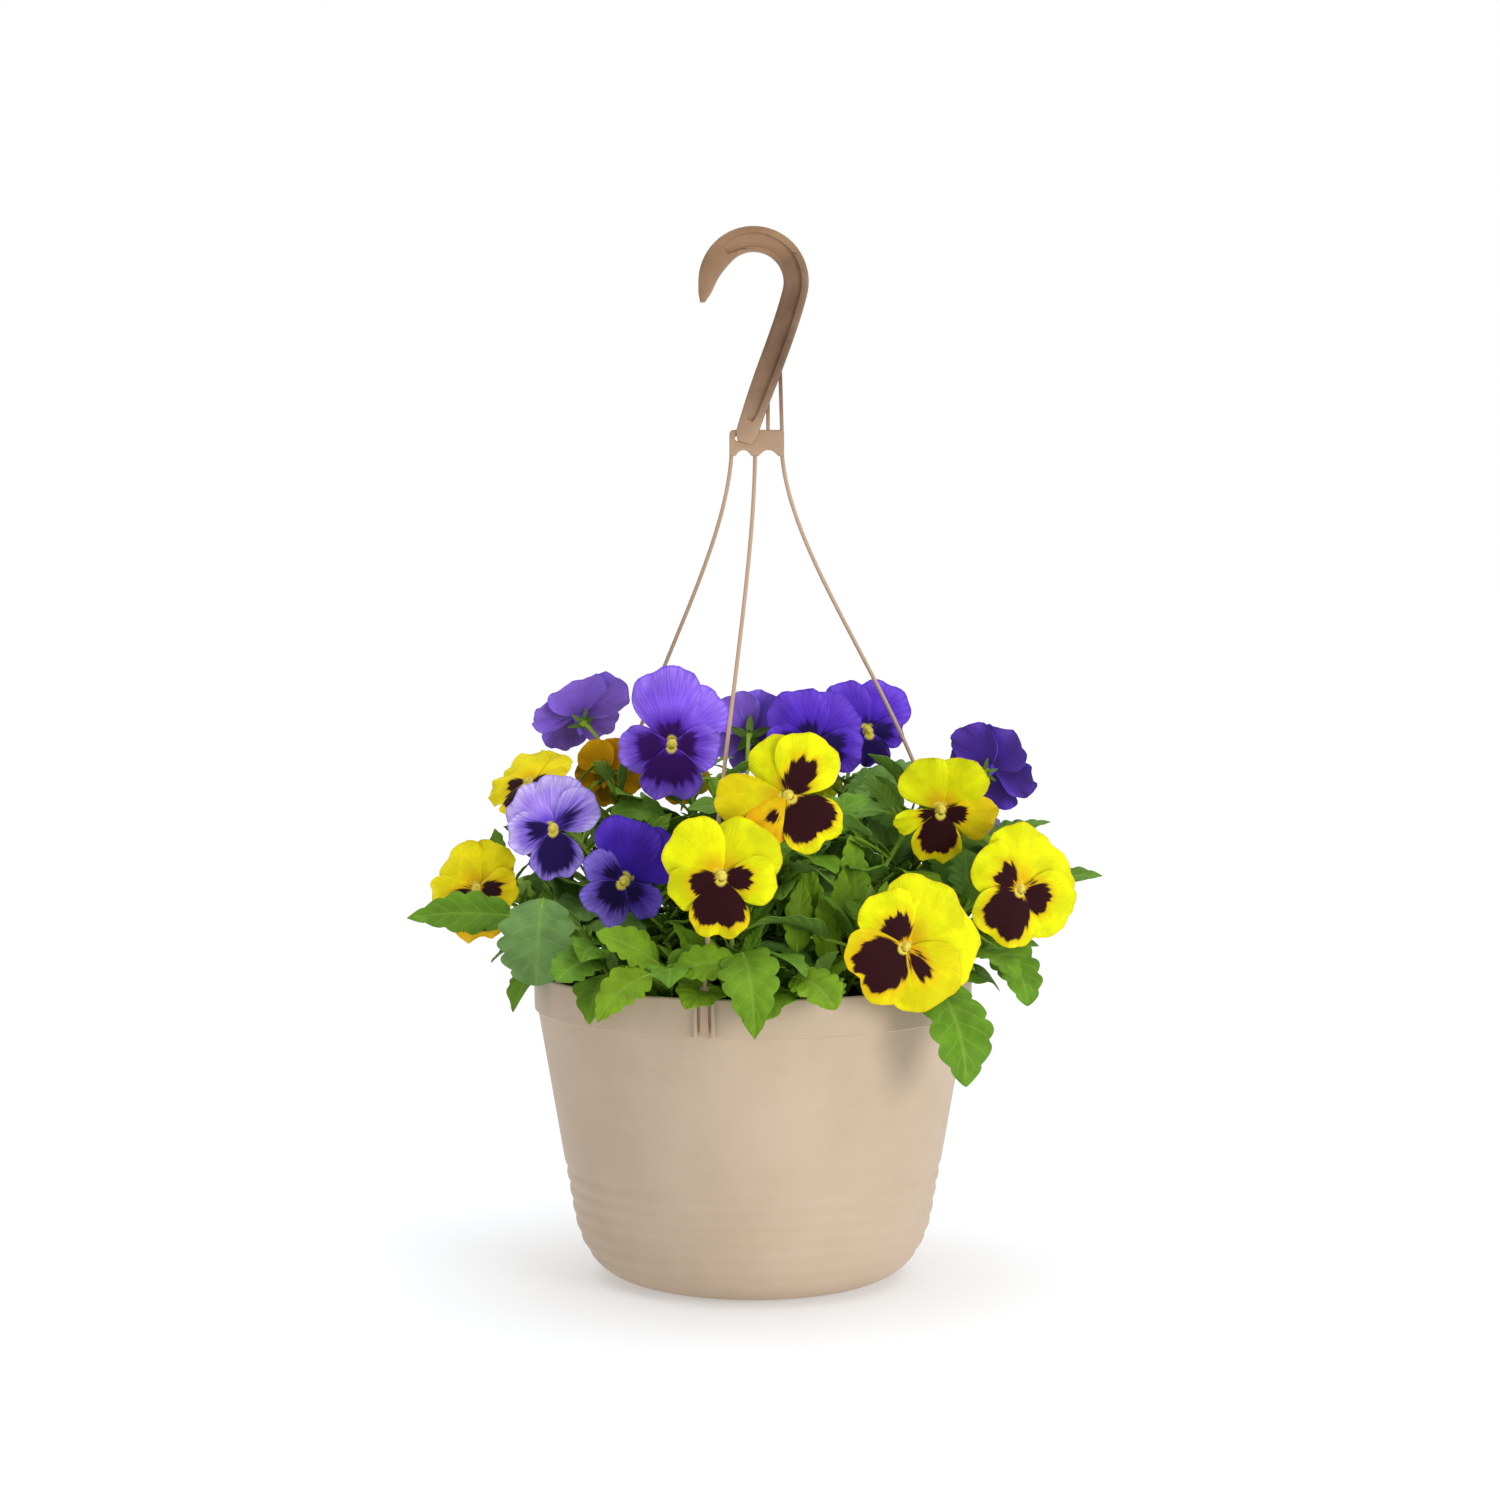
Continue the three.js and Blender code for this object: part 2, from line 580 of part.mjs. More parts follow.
function leafSurface(leaf) {
  const midrib = bend(leaf.base, leaf.azimuth, leaf.from, leaf.to, leaf.length);
  const a = rad(leaf.azimuth);
  const roll = rad(leaf.roll);
  const step = toothStep(leaf);
  return (s, t) => {
    const u = Math.min(Math.max(s, 0), 1);
    const climb = rad(leaf.from + (leaf.to - leaf.from) * u);
    const level = V(-Math.sin(a), Math.cos(a), 0);
    const [out, rise] = [-Math.sin(climb), Math.cos(climb)];
    const normal = V(Math.cos(a) * out, Math.sin(a) * out, rise);
    const side = level.clone().multiplyScalar(Math.cos(roll));
    side.addScaledVector(normal, Math.sin(roll));
    const face = normal.multiplyScalar(Math.cos(roll)).addScaledVector(level, -Math.sin(roll));
    if (s <= 0) {
      const stalk = leaf.root.clone().lerp(leaf.base, Math.max(1 + s, 0));
      return stalk.addScaledVector(side, STALK_HALF * t);
    }
    const outline = 2.3 * u ** 0.6 * (1 - u) ** 0.6;
    const notch = 0.5 + 0.5 * Math.cos((Math.PI * (u - 0.5)) / step + Math.PI * leaf.teeth);
    const half = leaf.half * outline * (1 - 0.22 * Math.abs(t) * notch);
    const width = Math.max(half, STALK_HALF * (1 - u));
    const fold = LEAF_FOLD * width * Math.abs(t);
    return midrib(s).addScaledVector(side, width * t).addScaledVector(face, fold);
  };
}

function leafSolid(leaf) {
  const step = toothStep(leaf);
  const rows = [
    [-1, [-1, 1]],
    [0.01, [-1, 1]],
  ];
  for (let k = 1 - leaf.teeth; k < leaf.teeth; k += 1) rows.push([0.5 + k * step, [-1, 0, 1]]);
  rows.push([1, [0]]);
  return blade(leafSurface(leaf), rows, LEAF_THICKNESS);
}

function shootSolid(shoot) {
  const stem = tube(shoot.route, STEM_RADIUS, 3, 6);
  const ends = shoot.frame ? [calyx(shoot.frame)] : [];
  return join([stem, ...shoot.leaves.map(leafSolid), ...ends]);
}

// ---- Planting ---------------------------------------------------------------------------
// Points on what already stands there. A new leaf keeps its own points away from
// them, so that no blade crosses another piece.
const SAMPLES_ALONG = [0.06, 0.16, 0.26, 0.37, 0.48, 0.59, 0.7, 0.8, 0.9, 1];
const SAMPLES_ACROSS = [-1, -0.66, -0.33, 0, 0.33, 0.66, 1];
const ROOM = 5.3; // between the leaves and stems of two shoots
const OWN_ROOM = 4; // within one shoot
const taken = [];
const claim = (points, owner) => points.forEach((point) => taken.push({ point, owner }));

function pointsOn(route, spacing, from = 0) {
  const count = Math.ceil((route.getLength() * (1 - from)) / spacing);
  return Array.from({ length: count + 1 }, (_, i) => route.getPoint(1 - ((1 - from) * i) / count));
}

function leafPoints(leaf) {
  const surface = leafSurface(leaf);
  const stalk = leaf.root.distanceTo(leaf.base);
  const points = [];
  for (let d = 0; d < stalk - 8; d += 4) points.push(surface(-d / stalk, 0));
  for (const s of SAMPLES_ALONG) {
    for (const t of SAMPLES_ACROSS) points.push(surface(s, t));
  }
  return points;
}

function clearOfPot(p) {
  const r = Math.hypot(p.x, p.y);
  if (p.z > POT_HEIGHT + 3 || r > RIM_RADIUS + 4.5) return true;
  return r < RIM_INNER - 3 && p.z > soilHeight(r) + 3;
}

function clearOfBloom(p, { frame, radius }) {
  const d = p.clone().sub(frame.eye);
  const depth = d.dot(frame.normal);
  const across = Math.hypot(d.dot(frame.right), d.dot(frame.up));
  return across > radius * 1.2 + 2 || depth < -9.5 || depth > 18;
}

function hasRoom(points, shoot, blooms) {
  return points.every(
    (p) =>
      clearOfPot(p) &&
      blooms.every((bloomShape) => clearOfBloom(p, bloomShape)) &&
      taken.every((t) => p.distanceTo(t.point) > (t.owner === shoot ? OWN_ROOM : ROOM)),
  );
}

// Tries leaves at one place on a stem until one has room. Low leaves are larger,
// have longer stalks and lie flatter.
function growLeaf(shoot, at, azimuth, blooms) {
  const tries = 80;
  const root = shoot.route.getPoint(at);
  const low = THREE.MathUtils.clamp((230 - root.z) / 50, 0, 1);
  for (let i = 0; i < tries; i += 1) {
    const swing = azimuth + draw(-80, 80);
    const reach = draw(12, 22 + 16 * low);
    const lift = draw(0, 14 + 8 * low);
    const from = draw(0, 55 - 15 * low);
    const length = draw(32, 42) + 10 * low;
    const heading = V(Math.cos(rad(swing)) * reach, Math.sin(rad(swing)) * reach, lift);
    const leaf = {
      root,
      base: root.clone().add(heading),
      azimuth: swing,
      from,
      to: from - draw(35, 80),
      length,
      half: length * draw(0.24, 0.32),
      roll: draw(-30, 30),
      teeth: 2,
    };
    const points = leafPoints(leaf);
    if (hasRoom(points, shoot.name, blooms)) {
      claim(points, shoot.name);
      shoot.leaves.push(leaf);
      return;
    }
  }
}

function plant() {
  const blooms = BLOOMS.map((spec) => ({ name: spec[0], frame: faceFrame(spec), radius: spec[8] }));
  for (const [name, azimuth] of Object.entries(ARM_AZIMUTHS)) {
    claim(pointsOn(armRoute(name), 5, 0.2), name);
    const foot = V(ARM_OUTER * Math.cos(rad(azimuth)), ARM_OUTER * Math.sin(rad(azimuth)), 160);
    claim(pointsOn(new THREE.LineCurve3(foot, foot.clone().setZ(POT_HEIGHT + 4)), 4), name);
  }
  const shoots = Object.entries(SHOOTS).map(([name, [x, y, count, ...top]]) => {
    const bloomed = blooms.find((b) => b.name === name);
    const frame = bloomed && bloomed.frame;
    const end = frame ? place(frame, 0, 0.6, 0.5 - RECEPTACLE) : V(...top);
    const arrival = frame ? frame.normal.clone().multiplyScalar(14).add(V(0, 0, -9)) : V(0, 0, 8);
    const route = stemRoute([x, y], end, arrival);
    claim(pointsOn(route, 4, 0.1), name);
    return { name, foot: [x, y], count, frame, route, leaves: [] };
  });
  for (const [name, at, x, y, z, azimuth, from, to, length, half, roll] of EDGE_LEAVES) {
    const shoot = shoots.find((one) => one.name === name);
    const root = shoot.route.getPoint(at);
    const leaf = { root, base: V(x, y, z), azimuth, from, to, length, half, roll, teeth: 3 };
    claim(leafPoints(leaf), name);
    shoot.leaves.push(leaf);
  }
  const rounds = 4;
  for (let i = 0; i < rounds; i += 1) {
    for (const shoot of shoots) {
      if (i >= shoot.count) continue;
      const outward = THREE.MathUtils.radToDeg(Math.atan2(shoot.foot[1], shoot.foot[0]));
      const swing = shoot.count === 1 ? 0 : i % 2 ? 80 : -80;
      const buried = (STEM_HOLE_DEPTH + 8) / shoot.route.getLength();
      const at = buried + ((0.82 - buried) * (i + 0.3)) / shoot.count;
      growLeaf(shoot, at, outward + swing, blooms);
    }
  }
  return shoots;
}

// ---- The basket ----------------------------------------------------------------------------
const finish = (color, roughness) =>
  new THREE.MeshStandardMaterial({ color, roughness, metalness: 0 });
const FINISHES = {
  pot: finish(0xc9b096, 0.55),
  hanger: finish(0xa98a6c, 0.5),
  soil: finish(0x2b1f17, 0.95),
  green: finish(0x3f7d22, 0.6),
  violet: finish(0x5a35b8, 0.7),
  yellow: finish(0xf4dc0c, 0.7),
};

const basket = new THREE.Group();
function add(name, geometry, material) {
  const mesh = new THREE.Mesh(geometry, FINISHES[material]);
  mesh.name = name;
  basket.add(mesh);
}

const shoots = plant();
add("pot", geometryOf(pot()), "pot");
add("soil", geometryOf(soil(shoots.map((shoot) => shoot.foot))), "soil");
add("hanger", geometryOf(hanger()), "hanger");
for (const shoot of shoots) add(`shoot_${shoot.name}`, geometryOf(shootSolid(shoot)), "green");
for (const spec of BLOOMS) add(`bloom_${spec[0]}`, bloom(spec), spec[1]);

export default basket;
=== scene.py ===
# %% [markdown]
# # A hanging basket of pansies
# A round moulded pot stands on its foot. A one-piece hanger with a hook is snapped
# to its rim, and potting soil holds a mound of leafy shoots with violet and yellow
# blooms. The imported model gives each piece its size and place. Here every piece is
# made again with the finish of the real one: rounded edges, ruffled petals with
# their dark blotches, and scalloped leaves with veins. More leaves fill the mound.

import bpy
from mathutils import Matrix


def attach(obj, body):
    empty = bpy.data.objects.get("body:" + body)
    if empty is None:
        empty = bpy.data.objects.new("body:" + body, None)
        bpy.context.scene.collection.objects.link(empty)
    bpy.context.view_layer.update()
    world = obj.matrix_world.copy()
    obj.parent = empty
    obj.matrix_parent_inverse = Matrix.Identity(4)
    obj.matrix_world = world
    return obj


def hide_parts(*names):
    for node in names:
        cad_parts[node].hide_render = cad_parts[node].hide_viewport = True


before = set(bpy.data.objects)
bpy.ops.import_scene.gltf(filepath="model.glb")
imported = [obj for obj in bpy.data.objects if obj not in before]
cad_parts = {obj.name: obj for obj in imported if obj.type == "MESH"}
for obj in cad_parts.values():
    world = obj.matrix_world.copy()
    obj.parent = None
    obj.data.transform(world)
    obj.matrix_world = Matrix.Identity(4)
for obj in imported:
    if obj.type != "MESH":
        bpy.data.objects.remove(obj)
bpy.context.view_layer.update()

# %% [markdown]
# ## Camera and light
# The camera looks slightly down at the basket with a long lens, which keeps the
# rim's ellipse flat. A white sky and a broad overhead sun leave a soft shadow only
# round the pot's foot. One large soft light from the right shapes the round pot, and
# a weak one from the left opens its shaded side. The white floor is made last.

# %% Camera
import math

import bmesh
import bpy
import numpy as np
from mathutils import Matrix, Vector, noise

scene = bpy.context.scene
camera = bpy.data.objects.new("camera", bpy.data.cameras.new("camera"))
camera.data.lens = 74.868
camera.data.sensor_width = 36
camera.location = (-0.00173, -1.8, 0.421)
camera.rotation_euler = (math.radians(86.32), 0, 0)
scene.collection.objects.link(camera)
scene.camera = camera
scene.view_settings.view_transform = "Standard"
print("camera lens:", round(camera.data.lens, 1), "mm")

# %% Lights
sky = bpy.data.worlds.new("studio")
sky.use_nodes = True
scene.world = sky
SKY_FOR_OBJECTS = 0.44
SKY_FOR_CAMERA = 1.0
sky_nodes = sky.node_tree.nodes
sky_nodes["Background"].inputs["Color"].default_value = (1, 1, 1, 1)
light_path = sky_nodes.new("ShaderNodeLightPath")
strength = sky_nodes.new("ShaderNodeMix")
strength.inputs["A"].default_value = SKY_FOR_OBJECTS
strength.inputs["B"].default_value = SKY_FOR_CAMERA
sky.node_tree.links.new(light_path.outputs["Is Camera Ray"], strength.inputs["Factor"])
sky.node_tree.links.new(strength.outputs["Result"], sky_nodes["Background"].inputs["Strength"])


def add_light(name, kind, place, target, energy, size):
    lamp = bpy.data.lights.new(name, kind)
    lamp.energy = energy
    if kind == "SUN":
        lamp.angle = math.radians(size)
    else:
        lamp.shape = "DISK"
        lamp.size = size
    holder = bpy.data.objects.new(name, lamp)
    holder.location = place
    aim = Vector(target) - Vector(place)
    holder.rotation_euler = aim.to_track_quat("-Z", "Y").to_euler()
    scene.collection.objects.link(holder)


add_light("overhead_sun", "SUN", (0.1, 0.3, 3), (0, 0, 0.2), 1.8, 80)
add_light("right_softbox", "AREA", (1.6, -1.8, 0.6), (0, 0, 0.25), 29, 1.3)
add_light("left_fill", "AREA", (-1.8, -1.2, 0.9), (0, 0, 0.25), 1.5, 1.2)

# %% [markdown]
# ## Building meshes from numbers
# Leaves, petals and stems are grown by rule, so they are built point by point rather
# than modelled by hand. A Form gathers the points and faces of one piece, together
# with named values at each point that its material reads later. Sizes are in
# millimetres until a Form becomes a mesh.


# %% The Form, which gathers one piece
class Form:
    def __init__(self):
        self.points, self.faces, self.finishes, self.values = [], [], [], []
        self.count = 0

    def add(self, points, faces, finish=0, **values):
        self.points.append(points)
        for group in faces:
            self.faces.append(np.asarray(group) + self.count)
            self.finishes.append(np.full(len(group), finish))
        self.values.append((len(points), values))
        self.count += len(points)


def unit(v):
    return v / np.maximum(np.linalg.norm(v, axis=-1, keepdims=True), 1e-9)


# %% From a Form to a Blender object
MM = 0.001
SMOOTH_UP_TO = math.radians(40)


def mesh_of(name, form):
    """A Blender mesh in metres, with the form's named values as point attributes."""
    mesh = bpy.data.meshes.new(name)
    points = np.concatenate(form.points) * MM
    corners = np.concatenate([faces.ravel() for faces in form.faces])
    sizes = np.concatenate([np.full(len(faces), faces.shape[1]) for faces in form.faces])
    mesh.vertices.add(len(points))
    mesh.vertices.foreach_set("co", points.ravel())
    mesh.loops.add(len(corners))
    mesh.loops.foreach_set("vertex_index", corners)
    mesh.polygons.add(len(sizes))
    mesh.polygons.foreach_set("loop_start", np.cumsum(sizes) - sizes)
    mesh.polygons.foreach_set("material_index", np.concatenate(form.finishes))
    mesh.polygons.foreach_set("use_smooth", np.ones(len(sizes), bool))
    for value in sorted({key for _, values in form.values for key in values}):
        held = mesh.attributes.new(value, "FLOAT", "POINT")
        parts = [np.broadcast_to(values.get(value, 0.0), count) for count, values in form.values]
        held.data.foreach_set("value", np.concatenate(parts).astype(np.float32))
    mesh.update(calc_edges=True)
    mesh.validate()
    return mesh


def add_shape(form, shape, points=None, finish=0, **values):
    """Moves a Blender edit mesh into a form, with its points changed where given."""
    if points is None:
        points = np.array([v.co for v in shape.verts])
    form.add(points, [[[v.index for v in face.verts] for face in shape.faces]], finish, **values)
    shape.free()


def settled(holder):
    """The mesh that an object shows once its outline or its modifiers are worked out."""
    evaluated = holder.evaluated_get(bpy.context.evaluated_depsgraph_get())
    return bpy.data.meshes.new_from_object(evaluated)


triangle_count = {}


def place_piece(name, mesh, materials, node):
    """Puts a mesh in the scene as a piece of the body root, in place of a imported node."""
    piece = bpy.data.objects.new(name, mesh)
    for material in materials:
        mesh.materials.append(material)
    mesh.set_sharp_from_angle(angle=SMOOTH_UP_TO)
    scene.collection.objects.link(piece)
    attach(piece, "root")
    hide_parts(node)
    triangle_count[name] = sum(len(p.vertices) - 2 for p in mesh.polygons)


# %% Blades and tubes
def blade(form, middle, thickness, **values):
    """A thin closed blade over a grid of middle points, with values for each of them.

    under is 1 on the blade's lower face.
    """
    rows, columns = middle.shape[:2]
    along, across = np.gradient(middle, axis=0), np.gradient(middle, axis=1)
    half = unit(np.cross(along, across)) * (thickness / 2)[..., None]
    top = np.arange(rows * columns).reshape(rows, columns)
    a, b, c, d = top[:-1, :-1], top[1:, :-1], top[1:, 1:], top[:-1, 1:]
    upper = np.stack([a, b, c, d], -1).reshape(-1, 4)
    lower = upper[:, ::-1] + top.size
    ring = np.concatenate([top[:-1, 0], top[-1, :-1], top[:0:-1, -1], top[0, :0:-1]])
    after = np.roll(ring, -1)
    rim = np.stack([ring + top.size, after + top.size, after, ring], -1)
    points = np.concatenate([(middle + half).reshape(-1, 3), (middle - half).reshape(-1, 3)])
    both = {key: np.tile(np.broadcast_to(v, (rows, columns)).ravel(), 2) for key, v in values.items()}
    under = np.repeat([0.0, 1.0], top.size)
    form.add(points, [upper, lower, rim], under=under, **both)


def wall_between(rings):
    """The faces between rings of points, from their numbers, one row for each ring."""
    around = np.roll(rings, -1, axis=1)
    return np.stack([rings[:-1], around[:-1], around[1:], rings[1:]], -1).reshape(-1, 4)


def tube(form, route, radius, sides, finish=0, **values):
    """A round rod along a route of points, with a radius for each of them."""
    route = np.asarray(route, float)
    count = len(route)
    radius = np.broadcast_to(radius, count)
    heading = unit(np.gradient(route, axis=0))
    side = unit(np.cross(heading[0], [0.31, 0.95, 0.12]))
    rings = []
    angles = np.arange(sides) * 2 * math.pi / sides
    for point, ahead, r in zip(route, heading, radius):
        side = unit(side - ahead * (side @ ahead))
        other = np.cross(ahead, side)
        rings.append(point + r * (np.outer(np.cos(angles), side) + np.outer(np.sin(angles), other)))
    index = np.arange(count * sides).reshape(-1, sides)
    values = {key: np.repeat(np.broadcast_to(v, count), sides) for key, v in values.items()}
    form.add(np.concatenate(rings), [wall_between(index), index[:1, ::-1], index[-1:]], finish, **values)

# %% [markdown]
# ## Materials from small parts
# Every finish starts from the Principled shader. A short helper adds one node, sets
# it and wires it, so that a material reads from top to bottom like a recipe.


# %% A helper that adds one node
def linear(hex_colour):
    """A colour from its usual hex form, as Blender's shaders need it."""
    parts = [int(hex_colour[i : i + 2], 16) / 255 for i in (0, 2, 4)]
    curve = [c / 12.92 if c <= 0.04045 else ((c + 0.055) / 1.055) ** 2.4 for c in parts]
    return (*curve, 1.0)


def put(tree, kind, sockets=(), **settings):
    made = tree.nodes.new("ShaderNode" + kind)
    for name, value in settings.items():
        setattr(made, name, value)
    for socket, value in dict(sockets).items():
        if isinstance(value, bpy.types.NodeSocket):
            tree.links.new(value, made.inputs[socket])
        else:
            made.inputs[socket].default_value = value
    return made


def value_of(tree, name):
    return put(tree, "Attribute", attribute_name=name).outputs["Fac"]


def ramp(tree, value, low, high, to_low=0.0, to_high=1.0):
    """Turns a value between low and high smoothly into one between two others."""
    sockets = {"Value": value, "From Min": low, "From Max": high, "To Min": to_low, "To Max": to_high}
    return put(tree, "MapRange", sockets, interpolation_type="SMOOTHSTEP").outputs["Result"]


def blend(tree, share, under, over):
    """Lays one colour over another by a share from 0 to 1."""
    return put(tree, "Mix", {0: share, 6: under, 7: over}, data_type="RGBA").outputs[2]


def math_of(tree, operation, a, b=0.0):
    return put(tree, "Math", {0: a, 1: b}, operation=operation).outputs[0]


def times(tree, a, b):
    return math_of(tree, "MULTIPLY", a, b)


# %% Helpers for noise, relief and node groups
def noise_of(tree, vector, scale, detail, roughness=0.5):
    sockets = {"Vector": vector, "Scale": scale, "Detail": detail, "Roughness": roughness}
    return put(tree, "TexNoise", sockets).outputs["Fac"]


def place_in(tree):
    """Where a point lies on its piece, in metres."""
    return put(tree, "TexCoord").outputs["Object"]


def raise_surface(tree, shader, height, strength, distance):
    """Lets a height tilt the surface as a fine relief would."""
    sockets = {"Height": height, "Strength": strength, "Distance": distance}
    tree.links.new(put(tree, "Bump", sockets).outputs["Normal"], shader.inputs["Normal"])


def new_group(name, inputs, outputs):
    """A node group with number sockets, and the two nodes at its ends."""
    group = bpy.data.node_groups.new(name, "ShaderNodeTree")
    for way, sockets in (("INPUT", inputs), ("OUTPUT", outputs)):
        for socket in sockets:
            group.interface.new_socket(socket, in_out=way, socket_type="NodeSocketFloat")
    return group, group.nodes.new("NodeGroupInput"), group.nodes.new("NodeGroupOutput")


def new_finish(name, roughness, **fixed):
    material = bpy.data.materials.new(name)
    material.use_nodes = True
    shader = material.node_tree.nodes["Principled BSDF"]
    shader.inputs["Roughness"].default_value = roughness
    for socket, value in fixed.items():
        shader.inputs[socket.replace("_", " ")].default_value = value
    return material, material.node_tree, shader


# %% [markdown]
# The pot and its hanger are moulded from the same kind of plastic. Up close it has a
# very fine grain, and a faint cloudiness from regrind in the mix. Both are small
# changes to height and colour, so one node group makes them and each material picks
# its own strength.

# %% Moulded plastic grain, shared by the pot and the hanger
# heights in metres over which painted light on the hanger's thin, low parts fades out, leaving the thick
# hook darker as if in shade
PAINTED_LIGHT_BELOW, PAINTED_LIGHT_GONE_ABOVE = 0.45, 0.53
moulded, moulded_in, moulded_out = new_group("moulded_grain", ["Fineness"], ["Height", "Cloud"])
place_on_piece = place_in(moulded)
fine_noise = noise_of(moulded, place_on_piece, moulded_in.outputs["Fineness"], 4.0)
moulded.links.new(fine_noise, moulded_out.inputs["Height"])
cloudy_noise = noise_of(moulded, place_on_piece, 14.0, 5.0, 0.6)
moulded.links.new(cloudy_noise, moulded_out.inputs["Cloud"])


def plastic(name, light, dark, roughness, relief, thin=None):
    """thin is a lighter colour painted on the thin, low parts by their height: painted light, for light
    shining through thin plastic.
    """
    material, tree, shader = new_finish(name, roughness, Specular_IOR_Level=0.3)
    grain = put(tree, "Group", node_tree=moulded)
    grain.inputs["Fineness"].default_value = 900
    colour = blend(tree, ramp(tree, grain.outputs["Cloud"], 0.3, 0.7), linear(dark), linear(light))
    # Painted light: below a set height the hanger is made lighter, as if lit through its thin arms and
    # clips, and the hook above stays darker, as if shaded.
    if thin:
        height = put(tree, "SeparateXYZ", {"Vector": place_in(tree)}).outputs["Z"]
        painted_light_share = ramp(tree, height, PAINTED_LIGHT_BELOW, PAINTED_LIGHT_GONE_ABOVE, 1.0, 0.0)
        colour = blend(tree, painted_light_share, colour, linear(thin))
    tree.links.new(colour, shader.inputs["Base Color"])
    raise_surface(tree, shader, grain.outputs["Height"], relief, 0.0004)
    return material


pot_plastic = plastic("pot_plastic", "c4ae97", "bba58d", 0.5, 0.25)
# b89a7f is the painted light of the thin arms and clips
hanger_plastic = plastic("hanger_plastic", "9c7a5c", "664b36", 0.4, 0.3, "b89a7f")
print("plastics:", pot_plastic.name, "and", hanger_plastic.name)

# %% [markdown]
# ## The pot
# The pot is a body of revolution, so its outline is drawn once and turned. Its lower
# wall carries shallow rings, which stiffen a thin moulded wall, and a thicker band
# runs under the rim. The square clip slots and the drain holes are cut with one
# Boolean, which leaves clean edges on a wall this thin.

# %% The pot's driving sizes
POT_HEIGHT = 178
RIM_RADIUS = 127
FOOT_RADIUS = 67
WALL = 2.4
BAND_HEIGHT = 21.5
BAND_STEP = 1.8
RIM_INNER = RIM_RADIUS - WALL - 0.6
WALL_TOP = (RIM_RADIUS - BAND_STEP - 0.5, POT_HEIGHT - BAND_HEIGHT)
CORNER_TOP = (104, 36)
SOIL_EDGE_Z = 158
SOIL_CROWN_Z = 163
ARM_AZIMUTHS = {"front": -101.9, "right": 18.1, "left": 138.1}
CLIP_Z = 170
SLOT_HALF = 2.2
RIB_SIDE, RIB_HALF, RIB_REACH = 4.9, 1, 2.3
DRAIN_COUNT, DRAIN_RADIUS, DRAIN_FROM_AXIS = 6, 4.5, 48


def bezier(corners, shares):
    """Points at these shares of a cubic Bezier curve."""
    t = np.asarray(shares, float)[..., None]
    a, b, c, d = (np.asarray(corner, float) for corner in corners)
    return (1 - t) ** 3 * a + 3 * t * (1 - t) ** 2 * b + 3 * t**2 * (1 - t) * c + t**3 * d


def pot_side(inset, divisions):
    """The wall's outline (radius, height) from the foot to the band, moved inwards."""
    corner_r, corner_z = CORNER_TOP
    corner = [
        (FOOT_RADIUS - inset / 2, inset),
        (88 - inset / 2, 1 + inset),
        (99 - inset, 14 + inset / 2),
        (corner_r - inset, corner_z),
    ]
    rounded = bezier(corner, np.linspace(0, 1, divisions + 1))
    steps = np.linspace(0, 1, 60)[1:, None]
    top = np.array([WALL_TOP[0] - inset, WALL_TOP[1]])
    return np.concatenate([rounded, rounded[-1] + (top - rounded[-1]) * steps])


# %% Turning an outline
def turned(form, outline, sides):
    """A closed body of revolution from an outline that starts and ends on the axis."""
    angles = np.arange(sides) * 2 * math.pi / sides
    outline = np.asarray(outline, float)
    r, z = outline[1:-1, 0], outline[1:-1, 1]
    ring = np.stack([np.outer(r, np.cos(angles)), np.outer(r, np.sin(angles))], -1)
    height = np.broadcast_to(z[:, None, None], (*ring.shape[:2], 1))
    points = np.concatenate([ring, height], -1).reshape(-1, 3)
    ends = [[0, 0, outline[0, 1]], [0, 0, outline[-1, 1]]]
    index = np.arange(len(r) * sides).reshape(-1, sides)
    first, last = len(points), len(points) + 1
    foot = np.stack([np.full(sides, first), np.roll(index[0], -1), index[0]], -1)
    crown = np.stack([np.full(sides, last), index[-1], np.roll(index[-1], -1)], -1)
    form.add(np.concatenate([points, ends]), [wall_between(index), foot, crown])


RING_LOW, RING_HIGH, RING_PITCH, RING_DEPTH, RING_HALF = 17, 70, 9.5, 1.1, 2.2


def ringed(outline):
    """Presses shallow grooves into the lower wall."""
    r, z = outline.T
    phase = (z - RING_LOW) / RING_PITCH
    groove = np.exp(-(((phase - np.round(phase)) * RING_PITCH / RING_HALF) ** 2))
    groove *= (z > RING_LOW - 3) & (z < RING_HIGH)
    return np.stack([r - RING_DEPTH * groove, z], -1)


# %% The pot's outline, and boxes turned to an azimuth
def on_circle(centre, radius, angles):
    return np.stack([centre[0] + radius * np.cos(angles), centre[1] + radius * np.sin(angles)], -1)


def rounded_corner(centre, radius, start, end, steps=5):
    return on_circle(centre, radius, np.radians(np.linspace(start, end, steps)))


def box_at(form, low, high, azimuth, bevel=0.0):
    """A box between two corners, turned about the pot's axis, with rounded edges."""
    shape = bmesh.new()
    bmesh.ops.create_cube(shape, size=1.0)
    bmesh.ops.scale(shape, vec=np.subtract(high, low), verts=shape.verts)
    if bevel:
        edges = shape.edges[:]
        bmesh.ops.bevel(shape, geom=edges, offset=bevel, segments=2, affect="EDGES", profile=0.5)
    bmesh.ops.translate(shape, vec=np.add(high, low) / 2, verts=shape.verts)
    turn = Matrix.Rotation(math.radians(azimuth), 3, "Z")
    bmesh.ops.rotate(shape, cent=(0, 0, 0), matrix=turn, verts=shape.verts)
    bmesh.ops.triangulate(shape, faces=shape.faces[:])
    add_shape(form, shape)


